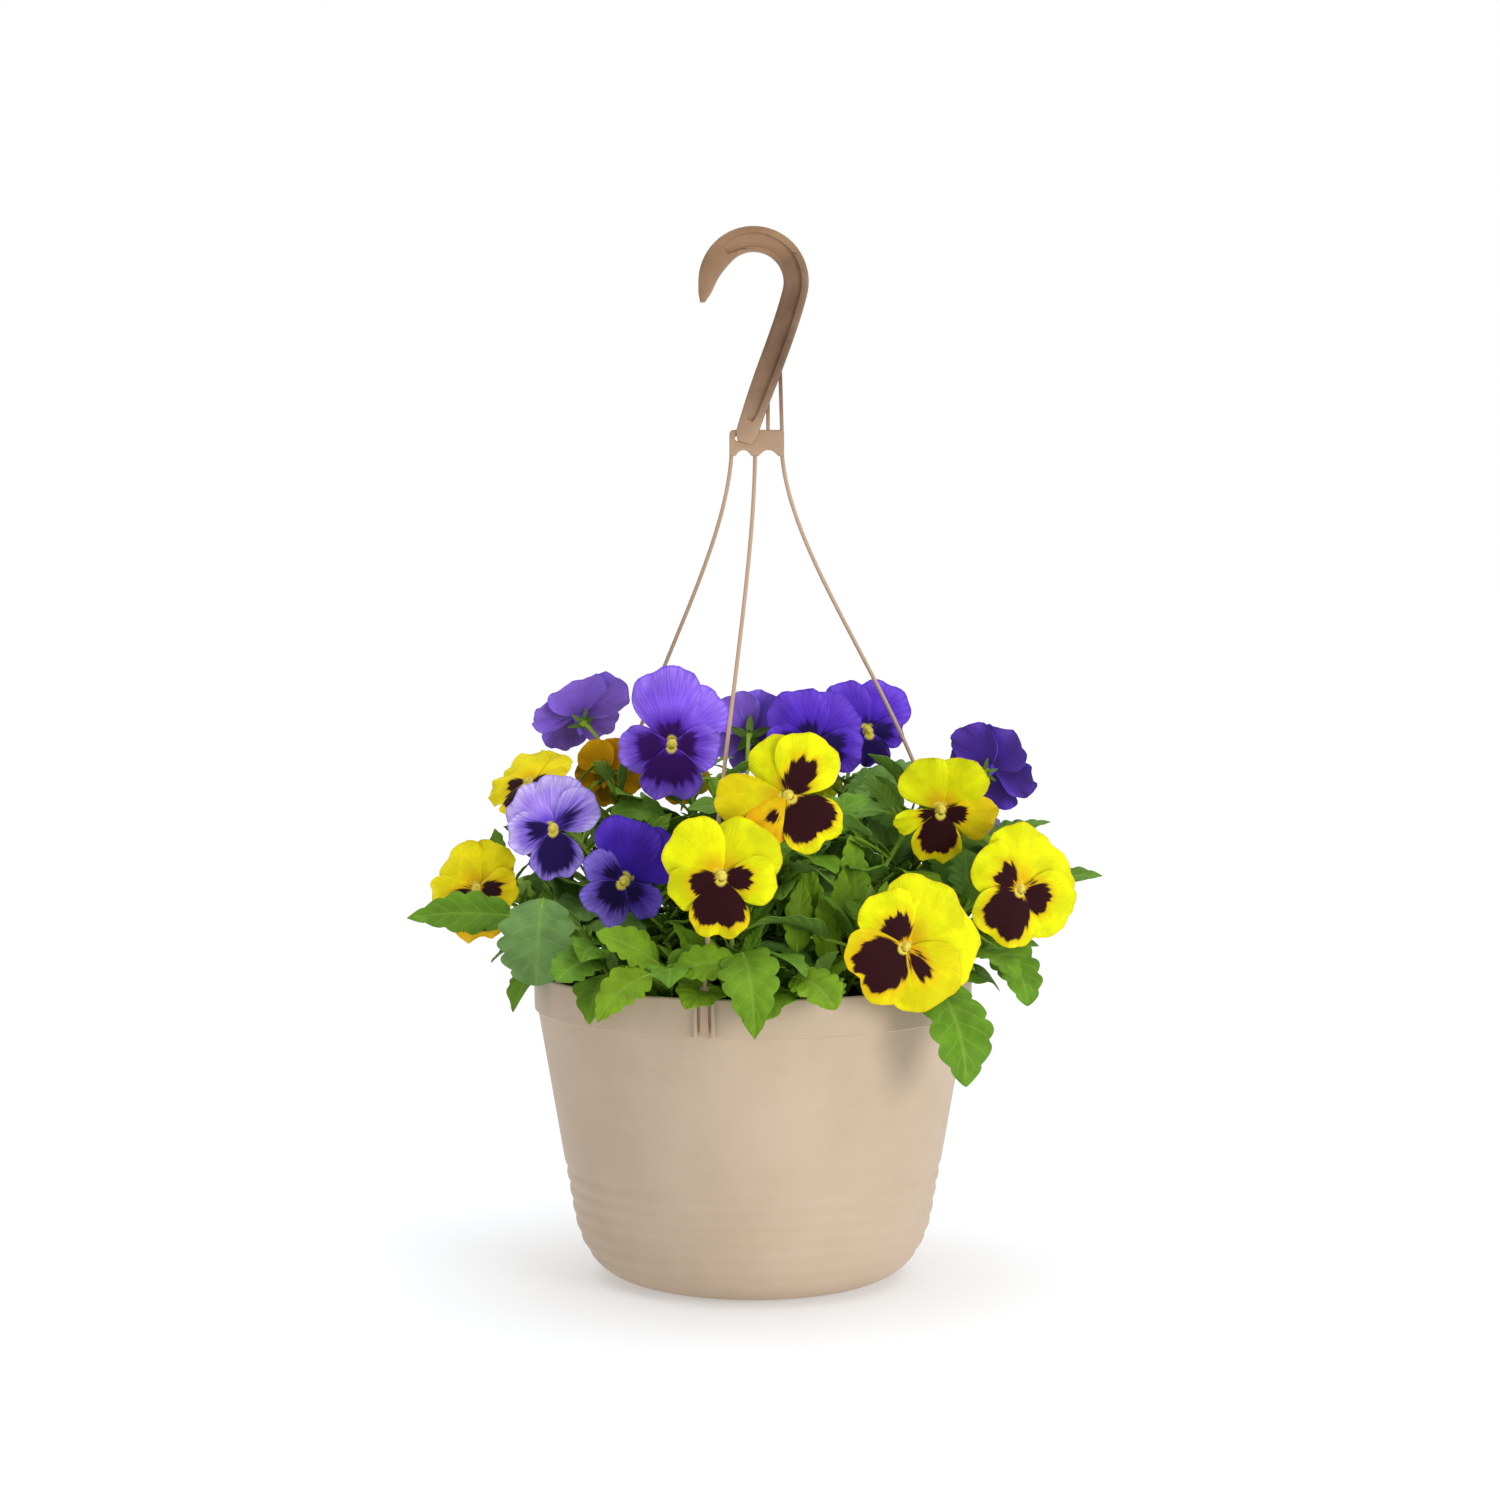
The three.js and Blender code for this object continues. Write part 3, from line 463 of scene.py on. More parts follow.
def cut(mesh, tool, operation="DIFFERENCE"):
    """Cuts one mesh from another, or joins them, and returns the result as a mesh."""
    body = bpy.data.objects.new("body", mesh)
    cutter = bpy.data.objects.new("cutter", tool)
    for o in (body, cutter):
        scene.collection.objects.link(o)
    cutting = body.modifiers.new("cut", "BOOLEAN")
    cutting.operation, cutting.object, cutting.solver = operation, cutter, "EXACT"
    cutting.use_self = True
    done = settled(body)
    for o in (body, cutter):
        bpy.data.objects.remove(o)
    return done


# %% Make the pot
LIP = 1.2
INNER_LIP = 0.8


def pot_outline():
    outside = ringed(pot_side(0, 24))
    inside = pot_side(WALL, 12)[::-2]
    band = [(RIM_RADIUS - LIP, WALL_TOP[1] - 0.1), (RIM_RADIUS - 0.4, WALL_TOP[1] + 0.6)]
    lip = rounded_corner((RIM_RADIUS - LIP, POT_HEIGHT - LIP), LIP, 0, 90)
    inner_lip = rounded_corner((RIM_INNER + INNER_LIP, POT_HEIGHT - INNER_LIP), INNER_LIP, 90, 180)
    shoulder = [(RIM_INNER, WALL_TOP[1] + 4)]
    return np.concatenate([[(0, 0)], outside, band, lip, inner_lip, shoulder, inside, [(0, WALL)]])


pot_body = Form()
turned(pot_body, pot_outline(), 144)
pot_mesh = mesh_of("pot_body", pot_body)

holes = Form()
ribs = Form()
for azimuth in ARM_AZIMUTHS.values():
    low = (RIM_INNER - 4, -SLOT_HALF, CLIP_Z - SLOT_HALF)
    box_at(holes, low, (RIM_RADIUS + 4, SLOT_HALF, CLIP_Z + SLOT_HALF), azimuth)
    for side in (-RIB_SIDE, RIB_SIDE):
        low = (RIM_RADIUS - BAND_STEP, side - RIB_HALF, WALL_TOP[1] + 0.6)
        high = (RIM_RADIUS + RIB_REACH, side + RIB_HALF, POT_HEIGHT - 0.6)
        box_at(ribs, low, high, azimuth, 0.5)
for i in range(DRAIN_COUNT):
    angle = 2 * math.pi * (i + 0.5) / DRAIN_COUNT
    x, y = DRAIN_FROM_AXIS * math.cos(angle), DRAIN_FROM_AXIS * math.sin(angle)
    tube(holes, [(x, y, -6), (x, y, 6)], DRAIN_RADIUS, 20)
pot_mesh = cut(pot_mesh, mesh_of("ribs", ribs), "UNION")
pot_mesh = cut(pot_mesh, mesh_of("holes", holes))
place_piece("planter_pot", pot_mesh, [pot_plastic], "pot")
print("pot triangles:", triangle_count["planter_pot"])

# %% [markdown]
# ## The hanger
# The hanger is one moulding: a hook with a long pocket on each face, a small plate
# with an eye, two stays, and three thin arms that bow out to clips on the rim. The
# hook and the plate are flat shapes, so a filled curve with a rounded bevel makes
# them, and the pockets are cut. The arms are rods swept along their own curves.

# %% The hook's line and outline
HUB_Z = 482
HOOK_CENTRE = (0.3, 573.8)
HOOK_RADIUS = 24.4
HOOK_HALF_WIDTH = 7.2
HOOK_BEAK = 11.5
BEAK_HALF_WIDTH = 2.3
BEAK_SHARE = 0.16
SHANK_TAPER = 0.9
HOOK_DEPTH = 8


def along_line(line, shares):
    """Points at equal shares of a line's length."""
    steps = np.linalg.norm(np.diff(line, axis=0), axis=1)
    length = np.concatenate([[0], np.cumsum(steps)])
    at = np.asarray(shares) * length[-1]
    return np.stack([np.interp(at, length, line[:, k]) for k in range(line.shape[1])], -1)


def hook_line():
    shank = math.radians(-14)
    bow = on_circle(HOOK_CENTRE, HOOK_RADIUS, np.linspace(math.pi, shank, 200))
    bow = np.concatenate([[bow[0] - (0, HOOK_BEAK)], bow])
    heading = np.array([math.sin(shank), -math.cos(shank)])
    corners = [bow[-1], bow[-1] + 26 * heading, (3.5, HUB_Z + 30), (-5.2, HUB_Z)]
    return np.concatenate([bow, bezier(corners, np.linspace(0, 1, 200)[1:])])


def smooth_step(value, low, high):
    share = np.clip((np.asarray(value, float) - low) / (high - low), 0, 1)
    return share * share * (3 - 2 * share)


def hook_shape(start, end, steps, margin, shift=0.0):
    """The hook's outline between two shares of its line, set in by a margin.

    The beak narrows on its inner side alone. shift moves the outline off the outer edge.
    """
    shares = np.linspace(start, end, steps + 1)
    line = hook_line()
    middle = along_line(line, shares)
    ahead = along_line(line, np.minimum(shares + 0.004, 1))
    behind = along_line(line, np.maximum(shares - 0.004, 0))
    heading = unit(ahead - behind)
    opening = np.sin(np.clip(shares / BEAK_SHARE, 0, 1) * math.pi / 2)
    blunt = BEAK_HALF_WIDTH + (HOOK_HALF_WIDTH - BEAK_HALF_WIDTH) * opening
    outward = np.stack([-heading[:, 1], heading[:, 0]], -1)
    middle = middle + outward * (HOOK_HALF_WIDTH - blunt - shift)[:, None]
    half = blunt - SHANK_TAPER * smooth_step(shares, 0.75, 1) - margin
    from_start, from_end = (np.sqrt(np.clip(d / 0.02, 0.35, 1)) for d in (shares - start, end - shares))
    out = outward * (half * (from_start * from_end))[:, None]
    return np.concatenate([(middle - out)[::-1], middle + out])


# %% Flat mouldings from outlines
def plate(outlines, depth, bevel, y=0.0):
    """A flat moulding in the XZ plane with rounded edges, from one or more outlines."""
    drawing = bpy.data.curves.new("plate", "CURVE")
    drawing.dimensions, drawing.fill_mode = "2D", "BOTH"
    drawing.extrude, drawing.bevel_depth = (depth / 2 - bevel) * MM, bevel * MM
    drawing.bevel_resolution, drawing.offset = 1, -bevel * MM
    for outline in outlines:
        line = drawing.splines.new("POLY")
        line.points.add(len(outline) - 1)
        line.use_cyclic_u = True
        for point, (x, z) in zip(line.points, outline):
            point.co = (x * MM, z * MM, 0, 1)
    holder = bpy.data.objects.new("plate", drawing)
    scene.collection.objects.link(holder)
    mesh = settled(holder)
    bpy.data.objects.remove(holder)
    mesh.transform(Matrix.Translation((0, y * MM, 0)) @ Matrix.Rotation(math.radians(90), 4, "X"))
    weld = bmesh.new()
    weld.from_mesh(mesh)
    bmesh.ops.remove_doubles(weld, verts=weld.verts, dist=2e-6)
    bmesh.ops.recalc_face_normals(weld, faces=weld.faces)
    weld.to_mesh(mesh)
    weld.free()
    return mesh


# %% The plate under the hook
ARM_ROOTS = {"front": 1.2, "right": 16.5, "left": -12.2}
HUB_HALF_HEIGHT = 7.5
HUB_CORNER = 2.4
HUB_DEPTH = 4.4
HUB_EYE_RADIUS = 1.6


def arch(start, end, height, steps=8):
    t = np.linspace(0, 1, steps)[:, None]
    middle = np.array([(start[0] + end[0]) / 2, start[1] + height])
    return (1 - t) ** 2 * start + 2 * t * (1 - t) * middle + t**2 * np.array(end)


def hub_outline():
    top, foot = HUB_Z + HUB_HALF_HEIGHT, HUB_Z - HUB_HALF_HEIGHT
    left, front, right = ARM_ROOTS["left"], ARM_ROOTS["front"], ARM_ROOTS["right"]
    return np.concatenate([
        [(left - 1.4, foot)],
        arch((left + 2, foot), (front - 2, foot), 7),
        arch((front + 2, foot), (right - 2, foot), 7),
        [(right + 1.4, foot)],
        rounded_corner((right - 1, top - HUB_CORNER), HUB_CORNER, 0, 90),
        rounded_corner((left + 1, top - HUB_CORNER), HUB_CORNER, 90, 180),
    ])


def ring_outline(centre, radius, sides=16):
    return on_circle(centre, radius, -np.arange(sides) * 2 * math.pi / sides)


STAY_HALF = 1.1
STAY_DEPTH = 2.4
# x at the plate, x and height above the plate at the hook
STAYS = [(16.6, 15.6, 41), (8.6, 8.6, 27)]


def stay_outline(low_x, high_x, rise):
    low, high = HUB_Z + 6, HUB_Z + rise
    return [
        (low_x - STAY_HALF, low), (low_x + STAY_HALF, low),
        (high_x + STAY_HALF, high), (high_x - STAY_HALF, high),
    ]


# %% The arms and their clips
GAP = 0.35
ARM_RADIUS = 1.2
ARM_OUTER = RIM_RADIUS + GAP + 0.9
POT_SIDES = 36
FRONT_BOW_AZIMUTH = -99
ARM_DROP_Z, ARM_BOW_Z = 400, 306
CLIP_HALF_WIDTH = 2.4


def level(angle):
    """The level direction at an angle about the upright axis."""
    return np.array([math.cos(angle), math.sin(angle), 0])


def arm_corners(name):
    """The four corners of an arm's curve: down from the plate, out, and onto the rim."""
    azimuth = math.radians(ARM_AZIMUTHS[name])
    out = level(azimuth)
    bow = level(math.radians(FRONT_BOW_AZIMUTH)) if name == "front" else out
    root = ARM_ROOTS[name]
    return [
        np.array([root, 0, HUB_Z - 4]),
        np.array([root * 1.1, 0, ARM_DROP_Z]) + 3 * out,
        bow * (ARM_OUTER - 3) + np.array([0, 0, ARM_BOW_Z]),
        out * ARM_OUTER + np.array([0, 0, POT_HEIGHT + 4]),
    ]


def clip(form, azimuth):
    inner = RIM_INNER * math.cos(math.pi / POT_SIDES) - GAP
    outer = RIM_RADIUS + GAP
    half = SLOT_HALF - GAP
    low, high = CLIP_Z - half, CLIP_Z + half
    back = (outer, -CLIP_HALF_WIDTH, WALL_TOP[1] + 3)
    box_at(form, back, (outer + 1.8, CLIP_HALF_WIDTH, POT_HEIGHT + 7), azimuth, 0.5)
    box_at(form, (inner - 1, -half, low), (outer + 1, half, high), azimuth)
    box_at(form, (inner - 2, -half - GAP - 0.7, low), (inner, half + GAP + 0.7, high), azimuth, 0.3)


# %% Make the hanger
POCKET_START, POCKET_END, POCKET_MARGIN, POCKET_SHIFT = 0.17, 0.93, 3.2, 0.7
POCKET_DEPTH = 4.2
hook_mesh = plate([hook_shape(0, 1, 72, 0)], HOOK_DEPTH, 1.1)
pocket_shape = hook_shape(POCKET_START, POCKET_END, 56, POCKET_MARGIN, POCKET_SHIFT)
for side in (-1, 1):
    hook_mesh = cut(hook_mesh, plate([pocket_shape], POCKET_DEPTH, 0.3, side * HOOK_DEPTH / 2))
eye_of_hub = ring_outline((ARM_ROOTS["left"] + 3.4, HUB_Z + 2.6), HUB_EYE_RADIUS)
hook_mesh = cut(hook_mesh, plate([hub_outline(), eye_of_hub], HUB_DEPTH, 0.5), "UNION")
for stay in STAYS:
    hook_mesh = cut(hook_mesh, plate([stay_outline(*stay)], STAY_DEPTH, 0.4), "UNION")

arms, clips = Form(), Form()
for name, azimuth in ARM_AZIMUTHS.items():
    tube(arms, bezier(arm_corners(name), np.linspace(0, 1, 60)), ARM_RADIUS, 10)
    clip(clips, azimuth)
arm_mesh = cut(mesh_of("arms", arms), mesh_of("clips", clips), "UNION")
hook_mesh = cut(hook_mesh, arm_mesh, "UNION")
place_piece("hanger_moulding", hook_mesh, [hanger_plastic], "hanger")
print("hanger triangles:", triangle_count["hanger_moulding"])

# %% [markdown]
# ## Where every bloom faces
# Each bloom is a row of numbers: where its eye is, which way its face looks, its
# size, and how tall its two upper petals are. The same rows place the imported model's
# blooms, so the fine ones land in the same space.

# %% The blooms
# name, colour, eye x, y, z, turn, tilt, roll, radius, tall
BLOOMS = [
    ("v1", "violet", -103, 32, 323, -150, 32, 10, 30, 1.1),
    ("v2", "violet", -46, -25, 310, -8, 6, 2, 33, 1.25),
    ("v3", "violet", -1, 52, 311, 172, 8, 0, 28, 1.0),
    ("v4", "violet", 36, 30, 307, 4, 16, -4, 31, 1.12),
    ("v5", "violet", 68, 50, 313, 12, 10, 4, 30, 1.15),
    ("v6", "violet", 141, 38, 292, 142, 20, 10, 31, 1.0),
    ("v7", "violet", -112, -50, 264, -16, 10, -6, 32, 1.08),
    ("v8", "violet", -71, -80, 238, -8, -10, -28, 28, 1.25),
    ("y1", "yellow", -129, -5, 286, -38, 42, 12, 28, 1.0),
    ("y2", "yellow", -84, 14, 290, 165, 4, 0, 22, 1.0),
    ("y3", "yellow", -17, -136, 241, -4, 6, 0, 34, 1.05),
    ("y4", "yellow", 19, -117, 288, 8, 9, 32, 36, 1.0),
    ("y5", "yellow", 106, -40, 274, 6, -10, -4, 32, 1.15),
    ("y6", "yellow", 149, -62, 231, 20, 8, -34, 37, 1.0),
    ("y7", "yellow", 82, -121, 206, 14, 10, -55, 39, 1.05),
    ("y8", "yellow", -159, -18, 220, -28, 6, 12, 34, 1.0),
    ("y9", "yellow", -42, 26, 286, 190, 18, 0, 19, 1.0),
    ("v9", "violet", -118, 80, 248, -128, 18, 6, 29, 1.1),
    ("y10", "yellow", -67, 126, 221, -156, 14, -8, 31, 1.0),
    ("v10", "violet", -7, 134, 233, 186, 18, 4, 30, 1.1),
    ("y11", "yellow", 92, 114, 204, 144, 10, 10, 32, 1.0),
    ("v11", "violet", 150, 78, 232, 122, 16, -6, 29, 1.1),
    ("y12", "yellow", 28, 74, 282, 168, 38, 0, 28, 1.0),
]


class Face:
    """A bloom's own axes: right, up and outward, as its viewer sees them."""

    def __init__(self, row):
        self.name, self.colour, x, y, z, turn, tilt, roll, self.radius, self.tall = row
        a, b, c = map(math.radians, (turn, tilt, roll))
        self.eye = np.array([x, y, z], float)
        self.normal = np.array([math.sin(a) * math.cos(b), -math.cos(a) * math.cos(b), math.sin(b)])
        sideways = level(a)
        upright = np.cross(self.normal, sideways)
        self.right = sideways * math.cos(c) + upright * math.sin(c)
        self.up = upright * math.cos(c) - sideways * math.sin(c)

    def place(self, across, rise, depth):
        across, rise, depth = (np.asarray(v, float)[..., None] for v in (across, rise, depth))
        return self.eye + across * self.right + rise * self.up + depth * self.normal


faces = {row[0]: Face(row) for row in BLOOMS}
print("blooms to make:", len(faces))

# %% The draw that both models share
seed = 20231


def draw(low=0.0, high=1.0):
    global seed
    seed = seed * 16807 % 2147483647
    return low + (high - low) * seed / 2147483647


# %% [markdown]
# ## Where every shoot stands
# A shoot is a stem in the soil with its leaves. A blooming shoot's stem arches over
# and ends behind its bloom. The leaves at the basket's edge are placed one by one,
# and the rest are drawn by a rule that tries a leaf until it has room. The rule and
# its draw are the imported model's own, so these leaves lie where their solids do, apart
# from two at the rim that are made longer below.

# %% Shoots and edge leaves
# name: foot x, y, leaves grown by rule, and x, y, z of the top of a leafy shoot's stem
SHOOTS = {
    "v1": (-42, 26, 3), "v2": (-22, -14, 3), "v3": (-4, 30, 2), "v4": (22, 12, 3),
    "v5": (40, 34, 3), "v6": (76, 26, 3), "v7": (-60, -28, 3), "v8": (-42, -52, 3),
    "v9": (-70, 50, 3), "v10": (6, 84, 3), "v11": (78, 56, 3),
    "y1": (-70, -6, 3), "y2": (-52, 6, 2), "y3": (-10, -82, 3), "y4": (14, -54, 4),
    "y5": (52, -20, 4), "y6": (86, -18, 3), "y7": (48, -74, 3), "y8": (-92, 6, 2),
    "y9": (-18, 10, 1), "y10": (-34, 74, 3), "y11": (42, 74, 3), "y12": (20, 50, 2),
    "s1": (-88, -30, 1, -104, -36, 204), "s2": (-74, -60, 1, -90, -74, 202),
    "s3": (-44, -90, 1, -46, -98, 190), "s4": (-8, -104, 1, -6, -110, 196),
    "s5": (26, -98, 1, 26, -108, 186), "s6": (76, -72, 1, 90, -84, 188),
    "s7": (100, 6, 1, 120, 4, 208), "s8": (68, -48, 2, 74, -50, 206),
    "s9": (20, 102, 2, 22, 108, 190), "s10": (-66, 80, 2, -74, 88, 192),
}
# shoot, share of the stem, base x, y, z, azimuth, climb from, to, length, half, roll, tone
EDGE_LEAVES = [
    ("s1", 1, -136, -46, 214, 181, 8, -10, 60, 12, -60, 0.45),
    ("s1", 0.8, -118, -22, 196, 178, 10, -50, 36, 11, 0, 0.3),
    ("s2", 1, -117, -72, 227, 258, -55, -92, 50, 21, 0, 0.12),
    ("s2", 0.8, -84, -96, 196, 228, 10, -40, 36, 12, -30, 0.4),
    ("s3", 1, -52, -112, 196, 186, 38, 15, 38, 11, -50, 0.85),
    ("s3", 0.8, -56, -120, 191, 214, -10, -60, 42, 11, -40, 0.95),
    ("s4", 1, -6, -122, 203, -80, -5, -88, 54, 15, 12, 0.7),
    ("s5", 1, 22, -124, 190, -50, 5, -50, 38, 12, 25, 0.85),
    ("s5", 0.85, 38, -118, 189, -74, 0, -50, 26, 8, 0, 0.8),
    ("s6", 1, 108, -92, 186, -62, -25, -92, 52, 17, 0, 0.5),
    ("s6", 0.85, 122, -62, 194, -28, 15, -60, 34, 11, 10, 0.6),
    ("y6", 0.62, 134, -40, 198, -40, -15, -88, 46, 14, 20, 0.5),
    ("s7", 1, 156, -14, 226, -4, 25, -5, 46, 9, 35, 0.35),
    ("v6", 0.72, 138, 14, 252, 8, 25, 5, 38, 9, 20, 0.3),
]
print("shoots:", len(SHOOTS), "edge leaves:", len(EDGE_LEAVES))

# %% Routes with a length
STEM_HOLE_DEPTH = 20
RECEPTACLE = 7.5


def soil_height(radius):
    edge = RIM_RADIUS - WALL - 2
    return SOIL_CROWN_Z - (SOIL_CROWN_Z - SOIL_EDGE_Z) * (radius / edge) ** 2


class Curve:
    """A Bezier curve, read by its own share or by the share of its length."""

    def __init__(self, corners):
        self.corners = corners
        self.shares = np.linspace(0, 1, 201)
        steps = np.linalg.norm(np.diff(bezier(corners, self.shares), axis=0), axis=1)
        self.lengths = np.concatenate([[0], np.cumsum(steps)])
        self.length = self.lengths[-1]

    def point(self, share):
        return bezier(self.corners, share)

    def point_at(self, share):
        return bezier(self.corners, np.interp(share * self.length, self.lengths, self.shares))


class Stem:
    """Straight up out of its hole in the soil, then over in a curve to its end."""

    def __init__(self, x, y, end, arrival):
        ground = soil_height(math.hypot(x, y))
        self.foot = np.array([x, y, ground - STEM_HOLE_DEPTH])
        start = np.array([x, y, ground])
        rise = np.array([x, y, ground + 0.5 * max(end[2] - ground, 20)])
        self.curve = Curve([start, rise, end - arrival, end])
        self.length = STEM_HOLE_DEPTH + self.curve.length

    def point(self, share):
        distance = share * self.length
        if distance <= STEM_HOLE_DEPTH:
            return self.foot + np.array([0, 0, distance])
        return self.curve.point_at((distance - STEM_HOLE_DEPTH) / self.curve.length)


def points_on(route, spacing, start=0.0):
    count = math.ceil(route.length * (1 - start) / spacing)
    return [route.point(1 - (1 - start) * i / count) for i in range(count + 1)]


# %% The leaf as a surface
LEAF_FOLD = 0.24
STALK_HALF = 1.1


class Leaf:
    """A leaf's root on its stem, its blade's base, its sizes, and its angles in degrees."""

    def __init__(self, root, base, azimuth, start, end, length, half, roll, teeth, tone=0.5):
        self.root, self.base, self.teeth, self.tone = root, np.asarray(base, float), teeth, tone
        self.azimuth, self.roll = math.radians(azimuth), math.radians(roll)
        self.start, self.end = math.radians(start), math.radians(end)
        self.length, self.half = length, half

    def midrib(self, u):
        u = np.asarray(u, float)
        turn = self.end - self.start
        turn = 1e-3 if abs(turn) < 1e-3 else turn
        out = self.length * (np.sin(self.start + turn * u) - math.sin(self.start)) / turn
        rise = self.length * (math.cos(self.start) - np.cos(self.start + turn * u)) / turn
        ahead, aside = math.cos(self.azimuth) * out, math.sin(self.azimuth) * out
        return self.base + np.stack([ahead, aside, rise], -1)

    def axes(self, u):
        """The directions to one side and out of the face, at shares of the blade."""
        climb = self.start + (self.end - self.start) * np.asarray(u, float)
        ahead = level(self.azimuth)
        aside = np.array([-math.sin(self.azimuth), math.cos(self.azimuth), 0])
        normal = -np.sin(climb)[..., None] * ahead + np.cos(climb)[..., None] * np.array([0, 0, 1])
        side = aside * math.cos(self.roll) + normal * math.sin(self.roll)
        return side, normal * math.cos(self.roll) - aside * math.sin(self.roll)

    def blade(self, u, t):
        """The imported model's blade, at shares along and across."""
        u, t = np.broadcast_arrays(np.asarray(u, float), np.asarray(t, float))
        side, face = self.axes(u)
        outline = 2.3 * u**0.6 * (1 - u) ** 0.6
        step = 0.42 / self.teeth
        notch = 0.5 + 0.5 * np.cos(math.pi * (u - 0.5) / step + math.pi * self.teeth)
        half = self.half * outline * (1 - 0.22 * np.abs(t) * notch)
        width = np.maximum(half, STALK_HALF * (1 - u))[..., None]
        t = t[..., None]
        return self.midrib(u) + side * width * t + face * LEAF_FOLD * width * np.abs(t)


# %% Room between leaves
SAMPLES_ALONG = np.array([0.06, 0.16, 0.26, 0.37, 0.48, 0.59, 0.7, 0.8, 0.9, 1])
SAMPLES_ACROSS = np.array([-1, -0.66, -0.33, 0, 0.33, 0.66, 1])
# the least room in mm between a leaf's points and those of others, or of its own shoot
ROOM = 5.3
OWN_ROOM = 4


def leaf_points(leaf):
    """Points along a leaf's stalk and over its blade, for the search for room."""
    stalk = np.linalg.norm(leaf.base - leaf.root)
    along = np.arange(0, stalk - 8, 4) / stalk
    stalk_points = leaf.base + (leaf.root - leaf.base) * along[:, None]
    grid = leaf.blade(SAMPLES_ALONG[:, None], SAMPLES_ACROSS[None, :])
    return np.concatenate([stalk_points, grid.reshape(-1, 3)])


class Taken:
    """What already stands in the basket, kept in cells so that a search is short."""

    def __init__(self):
        self.cells = {}

    def claim(self, points, owner):
        for x, y, z in np.asarray(points).tolist():
            key = (int(x // ROOM), int(y // ROOM), int(z // ROOM))
            self.cells.setdefault(key, []).append((x, y, z, owner))

    def free(self, points, owner, room, own_room):
        for x, y, z in points.tolist():
            i, j, k = int(x // ROOM), int(y // ROOM), int(z // ROOM)
            for a in (i - 1, i, i + 1):
                for b in (j - 1, j, j + 1):
                    for c in (k - 1, k, k + 1):
                        for px, py, pz, other in self.cells.get((a, b, c), ()):
                            least = own_room if other == owner else room
                            if (x - px) ** 2 + (y - py) ** 2 + (z - pz) ** 2 <= least * least:
                                return False
        return True


taken = Taken()


def clear_of_pot(points):
    """Whether points lie outside or above the pot, or well inside it above the soil."""
    r, z = np.hypot(points[:, 0], points[:, 1]), points[:, 2]
    outside = (z > POT_HEIGHT + 3) | (r > RIM_RADIUS + 4.5)
    inside = (r < RIM_INNER - 3) & (z > soil_height(r) + 3)
    return bool(np.all(outside | inside))


BLOOM_BACK = -9.5


def clear_of_blooms(points, front=18.0, share=1.2, margin=2.0):
    """Whether points leave free what lies in front of each bloom, to a depth in mm."""
    for face in faces.values():
        offset = points - face.eye
        depth = offset @ face.normal
        across = np.hypot(offset @ face.right, offset @ face.up)
        near = across <= face.radius * share + margin
        if np.any(near & (depth >= BLOOM_BACK) & (depth <= front)):
            return False
    return True


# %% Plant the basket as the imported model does
TRIES = 80
HIGHEST_LOW_LEAF, LOW_LEAF_SPAN = 230, 50


def drawn_leaf(root, azimuth, limits, longer=0.0, tone_limits=None):
    """Draws one leaf near a place on a stem. Each measure lies between two limits, and
    the swing and the roll lie between minus and plus one limit."""
    swing, reach, lift, start, length, bend, slenderness, roll = limits
    azimuth = azimuth + draw(-swing, swing)
    reach, lift, start = draw(*reach), draw(*lift), draw(*start)
    length = draw(*length) + longer
    angle = math.radians(azimuth)
    base = root + np.array([math.cos(angle) * reach, math.sin(angle) * reach, lift])
    end = start - draw(*bend)
    half = length * draw(*slenderness)
    roll = draw(-roll, roll)
    tone = draw(*tone_limits) if tone_limits else 0.5
    return Leaf(root, base, azimuth, start, end, length, half, roll, 2, tone)


def outward_leaf(root, azimuth):
    """Low leaves are larger and lie flatter."""
    low = min(max((HIGHEST_LOW_LEAF - root[2]) / LOW_LEAF_SPAN, 0), 1)
    reach, lift, start = (12, 22 + 16 * low), (0, 14 + 8 * low), (0, 55 - 15 * low)
    limits = (80, reach, lift, start, (32, 42), (35, 80), (0.24, 0.32), 30)
    return drawn_leaf(root, azimuth, limits, 10 * low)


class Shoot:
    def __init__(self, name, x, y, count, *top):
        self.name, self.count, self.leaves = name, count, []
        self.outward = math.degrees(math.atan2(y, x))
        self.face = faces.get(name)
        if self.face:
            end = self.face.place(0, 0.6, 0.5 - RECEPTACLE)
            self.stem = Stem(x, y, end, self.face.normal * 14 + np.array([0, 0, -9.0]))
        else:
            self.stem = Stem(x, y, np.array(top, float), np.array([0, 0, 8.0]))
        self.buried = (STEM_HOLE_DEPTH + 8) / self.stem.length


def add_leaves(shoots, rows):
    """Adds leaves that are placed one by one, which take their room in the basket."""
    for name, share, x, y, z, *measures, tone in rows:
        leaf = Leaf(shoots[name].stem.point(share), (x, y, z), *measures, 3, tone)
        taken.claim(leaf_points(leaf), name)
        shoots[name].leaves.append(leaf)


